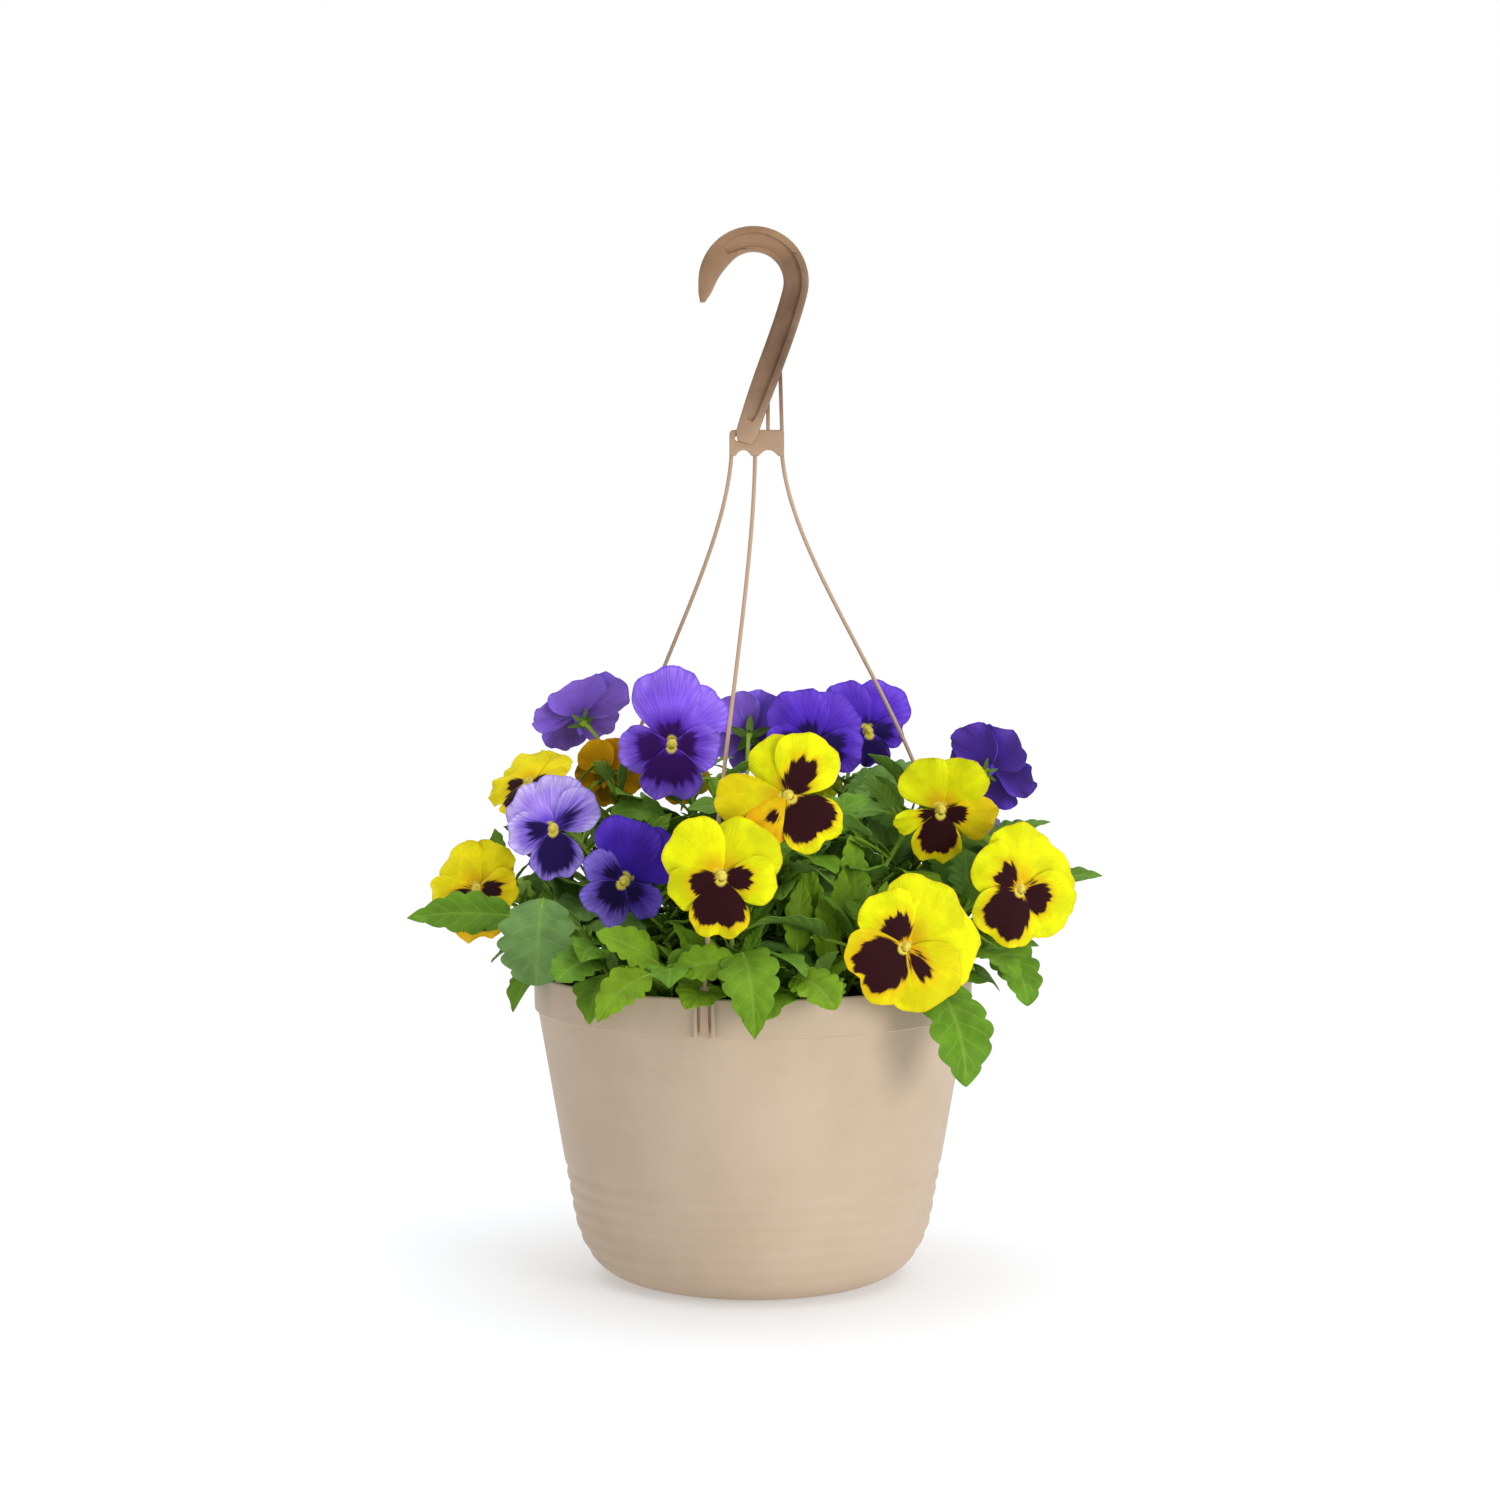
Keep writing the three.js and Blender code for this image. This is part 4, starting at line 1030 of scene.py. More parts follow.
def plant():
    for name, azimuth in ARM_AZIMUTHS.items():
        taken.claim(points_on(Curve(arm_corners(name)), 5, 0.2), name)
        angle = math.radians(azimuth)
        x, y = ARM_OUTER * math.cos(angle), ARM_OUTER * math.sin(angle)
        taken.claim([(x, y, 182 - 22 * i / 6) for i in range(7)], name)
    shoots = {name: Shoot(name, *row) for name, row in SHOOTS.items()}
    for shoot in shoots.values():
        taken.claim(points_on(shoot.stem, 4, 0.1), shoot.name)
    add_leaves(shoots, EDGE_LEAVES)
    for turn in range(4):
        for shoot in shoots.values():
            if turn >= shoot.count:
                continue
            swing = 0 if shoot.count == 1 else (80 if turn % 2 else -80)
            share = shoot.buried + (0.82 - shoot.buried) * (turn + 0.3) / shoot.count
            root = shoot.stem.point(share)
            for _ in range(TRIES):
                leaf = outward_leaf(root, shoot.outward + swing)
                points = leaf_points(leaf)
                if clear_of_pot(points) and clear_of_blooms(points):
                    if taken.free(points, shoot.name, ROOM, OWN_ROOM):
                        taken.claim(points, shoot.name)
                        shoot.leaves.append(leaf)
                        break
    return shoots


shoots = plant()
print("leaves:", {name: len(shoot.leaves) for name, shoot in shoots.items()})
print("leaves in all:", sum(len(shoot.leaves) for shoot in shoots.values()))
petal_phases = {name: [draw(0, 6.28) for _ in range(5)] for name in faces}

# %% [markdown]
# ## Soil
# Potting mix is dark and crumbly. Its top is a turned surface that noise roughens at
# two sizes, and loose crumbs and a few white grains lie on it. The rest of the body
# only has to fill the pot, so it stays plain.

# %% Soil finish
soil_mix, tree, shader = new_finish("soil_mix", 0.95, Specular_IOR_Level=0.2)
clods = noise_of(tree, place_in(tree), 160.0, 8.0, 0.7)
earth = blend(tree, ramp(tree, clods, 0.35, 0.68), linear("1c130c"), linear("4a3524"))
with_grains = blend(tree, ramp(tree, value_of(tree, "tone"), 0.4, 0.6), earth, linear("d9d2c2"))
tree.links.new(with_grains, shader.inputs["Base Color"])
raise_surface(tree, shader, clods, 0.9, 0.002)

# %% Make the soil
SOIL_SIDES = 96
CRUMB_COUNT = 420
CRUMB_REACH = 118


def crumb(form, place, size, tone):
    """One loose crumb: a small solid with its corners pushed about."""
    shape = bmesh.new()
    bmesh.ops.create_icosphere(shape, subdivisions=1, radius=size)
    stretch = np.array([draw(0.6, 1.3), draw(0.6, 1.3), draw(0.4, 0.9)])
    points = np.array([v.co * draw(0.75, 1.2) for v in shape.verts]) * stretch + place
    add_shape(form, shape, points, tone=tone)


def make_soil():
    form = Form()
    side = pot_side(WALL + GAP + 0.5, 8)
    side = side[side[:, 1] < SOIL_EDGE_Z - 3]
    top_radii = np.linspace(side[-1, 0] - 1, 1.5, 52)
    top = np.stack([top_radii, soil_height(top_radii)], -1)
    turned(form, np.concatenate([[(0, side[0, 1])], side, top, [(0, SOIL_CROWN_Z)]]), SOIL_SIDES)
    for point in form.points[0]:
        if point[2] > SOIL_EDGE_Z - 1:
            large = noise.noise(Vector(point) / 14)
            small = noise.noise(Vector(point) / 3.2)
            point[2] += 2.2 * large + 1.1 * small
    for i in range(CRUMB_COUNT):
        angle, radius = draw(0, 2 * math.pi), CRUMB_REACH * math.sqrt(draw())
        white = i % 9 == 0
        size = draw(0.7, 1.3) if white else draw(0.9, 2.6)
        height = soil_height(radius) + 0.6
        place = np.array([radius * math.cos(angle), radius * math.sin(angle), height])
        crumb(form, place, size, 1.0 if white else 0.0)
    place_piece("potting_soil", mesh_of("potting_soil", form), [soil_mix], "soil")


make_soil()
print("soil triangles:", triangle_count["potting_soil"])

# %% [markdown]
# ## Green finishes
# Pansy leaves are mid green with a pale midrib and veins that run out to the blunt
# teeth. New leaves are yellow-green and old ones bluish, so each leaf carries a tone
# that its material turns into a colour. The undersides are paler and duller.

# %% Vein pattern, shared by the leaves and the sepals
veined, veined_in, veined_out = new_group("leaf_veins", ["Pairs"], ["Vein", "Pucker"])
sideways = math_of(veined, "ABSOLUTE", value_of(veined, "across"))
slanted = math_of(veined, "SUBTRACT", value_of(veined, "along"), times(veined, sideways, 0.22))
off_vein = math_of(veined, "PINGPONG", times(veined, slanted, veined_in.outputs["Pairs"]), 0.5)
side_vein = ramp(veined, off_vein, 0.0, 0.085, 1.0, 0.0)
side_vein = times(veined, side_vein, ramp(veined, sideways, 0.55, 1.0, 1.0, 0.2))
midrib_line = ramp(veined, sideways, 0.02, 0.11, 1.0, 0.0)
veined.links.new(math_of(veined, "MAXIMUM", side_vein, midrib_line), veined_out.inputs["Vein"])
hollow = math_of(veined, "MINIMUM", off_vein, times(veined, sideways, 0.8))
veined.links.new(hollow, veined_out.inputs["Pucker"])


def green_finish(name, young, middle, old, vein_colour, pairs):
    """young, middle and old are a leaf's colours by its tone, and pairs counts its veins."""
    material, tree, shader = new_finish(name, 0.55, Specular_IOR_Level=0.13)
    veins = put(tree, "Group", node_tree=veined)
    veins.inputs["Pairs"].default_value = pairs
    tone, under = value_of(tree, "tone"), value_of(tree, "under")
    body = blend(tree, ramp(tree, tone, 0.0, 0.5), linear(old), linear(middle))
    body = blend(tree, ramp(tree, tone, 0.5, 1.0), body, linear(young))
    mottle = ramp(tree, noise_of(tree, place_in(tree), 90.0, 4.0), 0.3, 0.7, 0.82, 1.16)
    body = put(tree, "HueSaturation", {"Color": body, "Value": mottle}).outputs["Color"]
    body = blend(tree, times(tree, veins.outputs["Vein"], 0.3), body, linear(vein_colour))
    body = blend(tree, times(tree, under, 0.45), body, linear("7f9f55"))
    tree.links.new(body, shader.inputs["Base Color"])
    tree.links.new(ramp(tree, under, 0.0, 1.0, 0.55, 0.75), shader.inputs["Roughness"])
    raise_surface(tree, shader, veins.outputs["Pucker"], 0.6, 0.0012)
    return material


leaf_green = green_finish("leaf_green", "769a1a", "5d881c", "688c50", "90ae4a", 7.0)
stem_green = green_finish("stem_green", "a2c23c", "83aa2e", "648a2c", "aac85c", 0.0)
print("greens:", leaf_green.name, "and", stem_green.name)

# %% [markdown]
# ## Leaves, stems and sepals
# A leaf is one closed blade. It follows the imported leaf's bend and fold, and adds
# what that one leaves out: rounded teeth, a waved margin, a sunken midrib and a round
# stalk. Small narrow stipules stand at each stalk's foot, as on the real plant.

# %% The fine leaf
LEAF_BLADE = 0.5


def fine_leaf(form, leaf, rows, columns):
    """A long leaf is more pointed than a broad one."""
    t = np.linspace(-1, 1, columns)[None, :]
    u = 0.002 + 0.994 * np.linspace(0, 1, rows)[:, None] ** 0.9
    side, face = leaf.axes(u[:, 0])
    side, face = side[:, None, :], face[:, None, :]
    teeth = 3.5 if leaf.teeth == 2 else 5
    scallop = np.abs(np.sin(math.pi * teeth * u ** 1.15)) ** 0.6
    depth = 0.25 * smooth_step(u, 0.05, 0.2) * (1 - smooth_step(u, 0.9, 1.0))
    point = 0.6 + 0.4 * smooth_step(leaf.length / leaf.half, 2.6, 4.2)
    widest = 0.6 / (0.6 + point)
    outline = u**0.6 * (1 - u) ** point / (widest**0.6 * (1 - widest) ** point)
    width = np.maximum(1.12 * leaf.half * outline * (1 - depth * (1 - scallop)), 0.25 + 0.7 * (1 - u))
    phase = leaf.length * 1.7 + leaf.half * 5
    wave = 0.1 * np.sin(9 * u + phase + 2.2 * np.sign(t)) * np.abs(t) ** 2.2
    ripple = 0.035 * np.sin(2 * math.pi * teeth * u + phase) * np.abs(t) ** 3
    fold = LEAF_FOLD * (np.abs(t) ** 1.3 - 0.1 * (1 - np.abs(t)) ** 4)
    drop = -0.12 * t**4
    rise = width * (fold + wave + ripple + drop)
    middle = leaf.midrib(u) + side * (width * t)[..., None] + face * rise[..., None]
    thickness = LEAF_BLADE * (1 - 0.45 * np.abs(t) ** 6) * np.ones_like(u)
    blade(form, middle, thickness, along=u, across=t, tone=leaf.tone)
    stalk(form, leaf)


def stalk(form, leaf):
    t = np.linspace(0, 1, 7)[:, None]
    reach = leaf.base - leaf.root
    into_blade = leaf.midrib(0.12) - leaf.base
    sag = np.array([0, 0, 0.08 * np.linalg.norm(reach)]) * (t * (1 - t) * 2)
    route = leaf.root + reach * t + sag
    route = np.concatenate([route, [leaf.base + into_blade * 0.5, leaf.base + into_blade]])
    radius = np.interp(np.linspace(0, 1, len(route)), [0, 0.1, 0.8, 1], [1.25, 0.95, 0.8, 0.35])
    tube(form, route, radius, 6, 1, tone=0.35 + 0.5 * leaf.tone, along=0.5, across=0.5)


def narrow_blade(form, root, heading, facing, length, half, bow, tone, rows=7, columns=5):
    """A pointed blade: a stipule or a sepal."""
    u = np.linspace(0.0, 1, rows)[:, None]
    t = np.linspace(-1, 1, columns)[None, :]
    side = unit(np.cross(heading, facing))
    face = unit(np.cross(side, heading))
    width = np.maximum(half * 1.9 * (u + 0.12) ** 0.45 * (1 - u) ** 0.75, 0.12)
    rise = bow * length * u**2 + 0.18 * width * np.abs(t)
    line = root + heading * (length * u)[..., None] + face * rise[..., None]
    middle = line + side * (width * t)[..., None]
    thickness = np.full((rows, columns), 0.45)
    blade(form, middle, thickness, along=u, across=t, tone=tone)


# %% Stems, stipules and the calyx behind a bloom
UP = np.array([0, 0, 1.0])
# share of the stipule's length, and how far the lobe turns aside
STIPULE_LOBES = ((0.2, -0.9), (0.35, 0.8), (0.5, -0.6))


def sideways_of(heading):
    return unit(np.cross(heading, UP) + np.array([1e-6, 0, 0]))


def stipules(form, leaf, lobed):
    """A pair of small blades at a stalk's foot. On a large leaf they are lobed."""
    heading = unit(leaf.base - leaf.root)
    for sign in (-1, 1):
        out = unit(heading + sign * 0.8 * sideways_of(heading) + UP * draw(0.4, 1.2))
        length, tone = draw(9, 16), draw(0.5, 1.0)
        narrow_blade(form, leaf.root, out, UP, length, length * 0.13, -0.15, tone, 6, 3)
        if lobed:
            for share, turn in STIPULE_LOBES:
                root, lobe = leaf.root + out * length * share, unit(out + turn * sideways_of(out))
                narrow_blade(form, root, lobe, UP, 0.5 * length, 0.9, -0.1, tone, 5, 3)


SEPAL_ANGLES = (18, 90, 162, 232, 308)
# these blooms have shorter sepals than the rest
CALYX_SIZE = {"v1": 0.6, "v6": 0.5, "v8": 0.5, "y2": 0.6}


def fine_calyx(form, face):
    """Five pointed sepals on a small round receptacle, and the ears behind them."""
    for angle in SEPAL_ANGLES:
        a = math.radians(angle)
        outward = face.right * math.cos(a) + face.up * math.sin(a)
        root = face.place(1.8 * math.cos(a), 0.6 + 1.8 * math.sin(a), 0.6 - RECEPTACLE)
        tilt = unit(outward * 0.93 + face.normal * 0.36)
        length = draw(11.5, 14) * CALYX_SIZE.get(face.name, 1)
        narrow_blade(form, root, tilt, -face.normal, length, 0.19 * length, -0.12, draw(0.45, 0.8))
        ear = unit(outward * 0.8 - face.normal * 0.6)
        narrow_blade(form, root, ear, -face.normal, 3.6, 1.5, 0.1, 0.6, 5, 3)
    line = [face.place(0, 0.6, d) for d in (-10.4, -9.2, -7.6, -5.6, -4.2)]
    tube(form, line, [0.9, 1.9, 2.7, 2.6, 1.2], 12, 1, tone=0.7, along=0.5, across=0.5)


def fine_stem(form, shoot, tone):
    shares = np.linspace(0.0, 1, 34)
    route = np.array([shoot.stem.point(share) for share in shares])
    thick = 1.55 if shoot.face else 1.6
    radius = np.interp(shares, [0, 0.55, 0.93, 1], [thick, 1.45, 1.15, 1.3])
    tube(form, route, radius, 8, 1, tone=tone, along=0.5, across=0.5)


# %% [markdown]
# The real mound is dense: from the front it hides the soil and most stems. A second
# draw adds smaller leaves to every shoot, upright and narrow near the top of a stem
# and broad below, with little room between them but well clear of the blooms' faces.

# %% Filling leaves
FILL_COUNT = 20
FILL_ROOM = 2.4
FILL_TRIES = 34
FILL_REACH = 158
FILL_TOP = {"v6": 266, "v1": 292}
FILL_TOP_ELSEWHERE = 306


def upright_leaf(root, azimuth):
    limits = (90, (3, 12), (5, 16), (45, 80), (20, 34), (10, 55), (0.17, 0.26), 60)
    return drawn_leaf(root, azimuth, limits, tone_limits=(0.5, 1.0))


def fill(shoot):
    for i in range(FILL_COUNT):
        upright = i % 2 == 1
        low, high = (0.4, 0.93) if upright else (shoot.buried, 0.86)
        for _ in range(FILL_TRIES):
            root = shoot.stem.point(draw(low, high))
            if upright:
                leaf = upright_leaf(root, draw(0, 360))
            else:
                leaf = outward_leaf(root, draw(0, 360))
                leaf.tone = draw(0.2, 0.95)
            points = leaf_points(leaf)
            spread = np.hypot(points[:, 0], points[:, 1])
            top = FILL_TOP.get(shoot.name, FILL_TOP_ELSEWHERE)
            inside = np.all((spread < FILL_REACH) & (points[:, 2] < top))
            shows_blooms = clear_of_blooms(points, 14, 1.1, 0.5) and clear_of_blooms(points, 42, 0.9, 0)
            if inside and clear_of_pot(points) and shows_blooms:
                if taken.free(points, shoot.name, FILL_ROOM, FILL_ROOM):
                    taken.claim(points, shoot.name)
                    shoot.leaves.append(leaf)
                    break


# %% Leaves near the front
# like the edge leaves, across the front arm and over gaps in the mound
NEAR_LEAVES = [
    ("s4", 0.95, -10, -130, 198, 187, 12, -30, 36, 10, -58, 0.8),
    ("s3", 1, -46, -126, 196, -6, 24, -34, 36, 9, 58, 0.6),
    ("y4", 0.6, 34, -84, 262, 20, 55, 10, 40, 11, 40, 0.4),
    ("v5", 0.8, 66, 18, 284, -40, 40, -20, 40, 11, 30, 0.2),
    ("v4", 0.7, 54, 2, 276, -20, 45, -10, 40, 12, 40, 0.25),
    ("y5", 0.8, 84, -20, 262, 150, 60, 10, 38, 11, -35, 0.3),
    ("v2", 0.7, -50, -20, 266, 195, 35, -20, 34, 10, -40, 0.4),
    ("y2", 0.72, -66, -2, 268, 250, 55, -10, 38, 9, -20, 0.6),
    ("v7", 0.6, -104, -36, 212, 120, 75, 30, 40, 12, 20, 0.3),
    ("y8", 0.6, -122, -4, 222, -60, 60, 20, 38, 11, 10, 0.35),
    ("y5", 0.55, 72, -30, 232, 200, 66, 20, 40, 12, 10, 0.4),
    ("y6", 0.5, 104, -28, 214, 90, 72, 30, 40, 12, -20, 0.3),
    ("v5", 0.7, 84, 20, 236, 20, 66, 20, 42, 12, 10, 0.25),
    ("v2", 0.7, -34, 4, 252, 200, 60, 10, 38, 11, 0, 0.5),
    ("v4", 0.62, 58, 18, 250, -10, 60, 20, 42, 13, 0, 0.3),
    ("y8", 0.75, -118, -8, 238, 172, 62, 20, 36, 12, 0, 0.35),
    ("y1", 0.7, -104, -2, 250, 190, 70, 30, 34, 12, 0, 0.3),
    ("v5", 0.75, 70, 34, 246, 200, 75, 35, 44, 14, 0, 0.3),
    ("y6", 0.7, 112, -16, 232, 100, 75, 30, 36, 12, 0, 0.3),
    ("y4", 0.5, 44, -40, 222, 60, 70, 20, 34, 11, 0, 0.3),
    ("y5", 0.7, 78, -14, 244, 130, 78, 40, 34, 11, 0, 0.3),
    ("y6", 0.62, 122, -30, 222, 90, 78, 40, 32, 10, 0, 0.3),
    ("s5", 0.9, 24, -92, 200, 70, 84, 66, 42, 8, 30, 0.95),
    ("y4", 0.35, 33, -84, 208, 110, 84, 60, 44, 8, -30, 0.85),
    ("s5", 0.7, 40, -96, 194, 100, 86, 60, 40, 7, 10, 1.0),
    ("y7", 0.4, 48, -80, 206, 80, 80, 60, 40, 8, 40, 0.9),
    ("s8", 0.9, 58, -56, 222, 100, 80, 50, 42, 9, 20, 0.8),
    ("y4", 0.55, 20, -72, 232, 90, 80, 55, 38, 8, -20, 0.8),
]
add_leaves(shoots, NEAR_LEAVES)
# two leaves that hang over the rim are a little longer than packed
hanging = shoots["s6"].leaves[0]
hanging.base, hanging.length, hanging.half = np.array([100.0, -95, 183]), 66, 19
shoots["s4"].leaves[0].length = 62
print("leaves placed near the front:", len(NEAR_LEAVES))

# %% Fill the mound
planted = {name: len(shoot.leaves) for name, shoot in shoots.items()}
for shoot in shoots.values():
    for leaf in shoot.leaves:
        if leaf.teeth == 2:
            leaf.tone = draw(0.2, 0.8)
    fill(shoot)
print("leaves with the filling:", sum(len(shoot.leaves) for shoot in shoots.values()))

# %% Make the shoots
# rows and columns of a blade: placed one by one, drawn as packed, or filling
LEAF_GRIDS = {"placed": (44, 13), "drawn": (26, 9), "filling": (19, 7)}
for name, shoot in shoots.items():
    form = Form()
    fine_stem(form, shoot, draw(0.4, 0.8))
    for i, leaf in enumerate(shoot.leaves):
        early = i < planted[name]
        rows, columns = LEAF_GRIDS["placed" if leaf.teeth == 3 else "drawn" if early else "filling"]
        fine_leaf(form, leaf, rows, columns)
        stipules(form, leaf, early)
    if shoot.face:
        fine_calyx(form, shoot.face)
    mesh = mesh_of(f"leafy_{name}", form)
    place_piece(f"leafy_{name}", mesh, [leaf_green, stem_green], f"shoot_{name}")
print("shoots made:", len(shoots), "triangles so far:", sum(triangle_count.values()))

# %% [markdown]
# ## Petal finishes
# A pansy's face is drawn by its petals: dark blotches round the eye, feathered
# outwards along the veins, and a paler or warmer margin. Each petal carries how deep
# inside its blotch every point lies, and the shader feathers that edge. A blotch is
# close to black, so the petals get almost no gloss, which would turn it grey.

# %% Petal markings, shared by every petal colour
MARKS = ["Blotch", "Halo", "Eye", "Vein", "Mottle"]
marked, marked_in, marked_out = new_group("petal_markings", ["Feather", "Soft Edge"], MARKS)


def streaks(across, along, third, detail):
    """Noise drawn out along the petal, so that it looks like fine lines from the eye."""
    stretched = put(marked, "CombineXYZ", {"X": times(marked, value_of(marked, "across"), across)})
    marked.links.new(times(marked, value_of(marked, "along"), along), stretched.inputs["Y"])
    if third:
        marked.links.new(times(marked, value_of(marked, "tone"), third), stretched.inputs["Z"])
    return noise_of(marked, stretched.outputs["Vector"], 1.0, detail)


rays = math_of(marked, "SUBTRACT", streaks(8.0, 1.6, 37.0, 3.0), 0.5)
pushed = times(marked, rays, marked_in.outputs["Feather"])
inside = math_of(marked, "ADD", value_of(marked, "blotch"), pushed)
scaled = math_of(marked, "DIVIDE", inside, marked_in.outputs["Soft Edge"])
fine_lines = streaks(34.0, 2.4, 0, 2.0)
cloud = noise_of(marked, place_in(marked), 70.0, 5.0)
for mark, value, low, high in (
    ("Blotch", scaled, -1.0, 1.0),
    ("Halo", scaled, -5.0, 0.0),
    ("Eye", value_of(marked, "eye"), -0.1, 0.25),
    ("Vein", fine_lines, 0.42, 0.6),
    ("Mottle", cloud, 0.3, 0.7),
):
    marked.links.new(ramp(marked, value, low, high), marked_out.inputs[mark])


# %% One petal finish, from the eye outwards
def petal_finish(name, heart, body, margin, blotch, tint, halo, vein, feather, soft_edge):
    """heart, body and margin run from the eye outwards. tint is the colour that some
    petals of a bloom turn towards, and vein is how strongly the veins show."""
    material, tree, shader = new_finish(name, 0.7, Specular_IOR_Level=0.1, Sheen_Weight=0.05)
    marks = put(tree, "Group", node_tree=marked)
    marks.inputs["Feather"].default_value = feather
    marks.inputs["Soft Edge"].default_value = soft_edge
    halo_colour, halo_share = halo
    along, under = value_of(tree, "along"), value_of(tree, "under")
    lightness = ramp(tree, marks.outputs["Mottle"], 0.0, 1.0, 0.86, 1.08)
    lightness = times(tree, lightness, ramp(tree, value_of(tree, "tone"), 0.0, 1.0, 0.92, 1.06))
    colour = blend(tree, ramp(tree, along, 0.12, 0.55), linear(heart), linear(body))
    colour = blend(tree, ramp(tree, along, 0.62, 0.97), colour, linear(margin))
    colour = blend(tree, value_of(tree, "tint"), colour, linear(tint))
    colour = put(tree, "HueSaturation", {"Color": colour, "Value": lightness}).outputs["Color"]
    eye = times(tree, marks.outputs["Eye"], math_of(tree, "SUBTRACT", 1.0, under))
    for share, over in (
        (times(tree, marks.outputs["Vein"], vein), heart),
        # the outermost edge is painted darker towards the heart colour: painted shade, for the thin shadow
        # line where petals overlap
        (times(tree, ramp(tree, along, 0.95, 1.0), 0.45), heart),
        (times(tree, marks.outputs["Halo"], halo_share), halo_colour),
        (marks.outputs["Blotch"], blotch),
        (times(tree, under, 0.55), margin),
        (eye, "dccb48"),
    ):
        colour = blend(tree, share, colour, linear(over))
    tree.links.new(colour, shader.inputs["Base Color"])
    raise_surface(tree, shader, marks.outputs["Vein"], 0.4, 0.0004)
    return material


# %% Seven petal colours
YELLOW = dict(feather=0.2, soft_edge=0.024, vein=0.14)
VIOLET = dict(feather=0.36, soft_edge=0.07, vein=0.4)
# heart, body, margin, blotch, tint, the halo round the blotch and its share, strengths
COLOURS = {
    "lemon": ("d8aa00", "dadc00", "dee406", "2a0409", "e39a06", ("dc9a00", 0.5), YELLOW),
    "golden": ("e0ac00", "f0e006", "f0e40c", "2a0409", "e69a06", ("dc9800", 0.45), YELLOW),
    "amber": ("dc8e00", "f0a808", "f8b80c", "40160a", "d08008", ("c87c00", 0.4), YELLOW),
    "lavender": ("5e38cc", "b898f8", "d8c6fe", "1c0a4c", "d8ccff", ("5a30c4", 0.6), VIOLET),
    "violet": ("5828cc", "9064f4", "a07af8", "340a5c", "b094fc", ("5420b4", 0.6), VIOLET),
    "deep": ("3c1aa8", "5c34c6", "724ad8", "1c084c", "947af4", ("4018ac", 0.5), VIOLET),
    "indigo": ("2c108e", "4220aa", "5c38c8", "14063c", "a48ef6", ("301288", 0.5), VIOLET),
}
petal_finishes = {
    name: petal_finish(f"{name}_petal", *colours, **strengths)
    for name, (*colours, strengths) in COLOURS.items()
}
print("petal colours:", list(petal_finishes))
throat_paint, tree, shader = new_finish("throat", 0.6, Specular_IOR_Level=0.2)
throat_tone = ramp(tree, value_of(tree, "tone"), 0.0, 1.0)
tree.links.new(blend(tree, throat_tone, linear("c4b42c"), linear("e6d45c")), shader.inputs["Base Color"])

# %% [markdown]
# ## The shape of each face
# A pansy has five petals: two upper ones behind, two at the sides, and a lower one in
# front. No two faces are alike, so the blooms on show have their own table of petals.
# A petal is a fan about the eye, given by its direction, its reach as a share of the
# bloom's radius, half its spread in degrees, and how far its margin leans forward. A
# blotch is a rounded patch, given by how far out its middle lies, half its length and
# half its width. The others use the plain face of their colour.

# %% Petals of a plain face
KINDS = ("right", "upper_right", "upper_left", "left", "lower")
# for each of these kinds in turn: direction, reach, half spread, lean
PLAIN = [
    (-8, 0.94, 48, 0), (60, 1, 58, -0.1), (119, 1.02, 58, -0.05), (188, 0.94, 48, 0), (270, 0.92, 56, 0.05),
]
# how far in front of the eye a petal lies, in millimetres
LAYER = {"right": 0.8, "upper_right": -2.1, "upper_left": -0.7, "left": 0.6, "lower": 2.1}
BLOTCHED = ("right", "left", "lower", "upper_right", "upper_left")
# for the first three or all five of these in turn: middle, half length, half width
PLAIN_BLOTCH = {
    "yellow": [(0.3, 0.18, 0.17), (0.3, 0.18, 0.17), (0.44, 0.32, 0.4)],
    "violet": [
        (0.3, 0.2, 0.2), (0.3, 0.2, 0.2), (0.42, 0.28, 0.4), (0.16, 0.12, 0.14), (0.16, 0.12, 0.14),
    ],
}

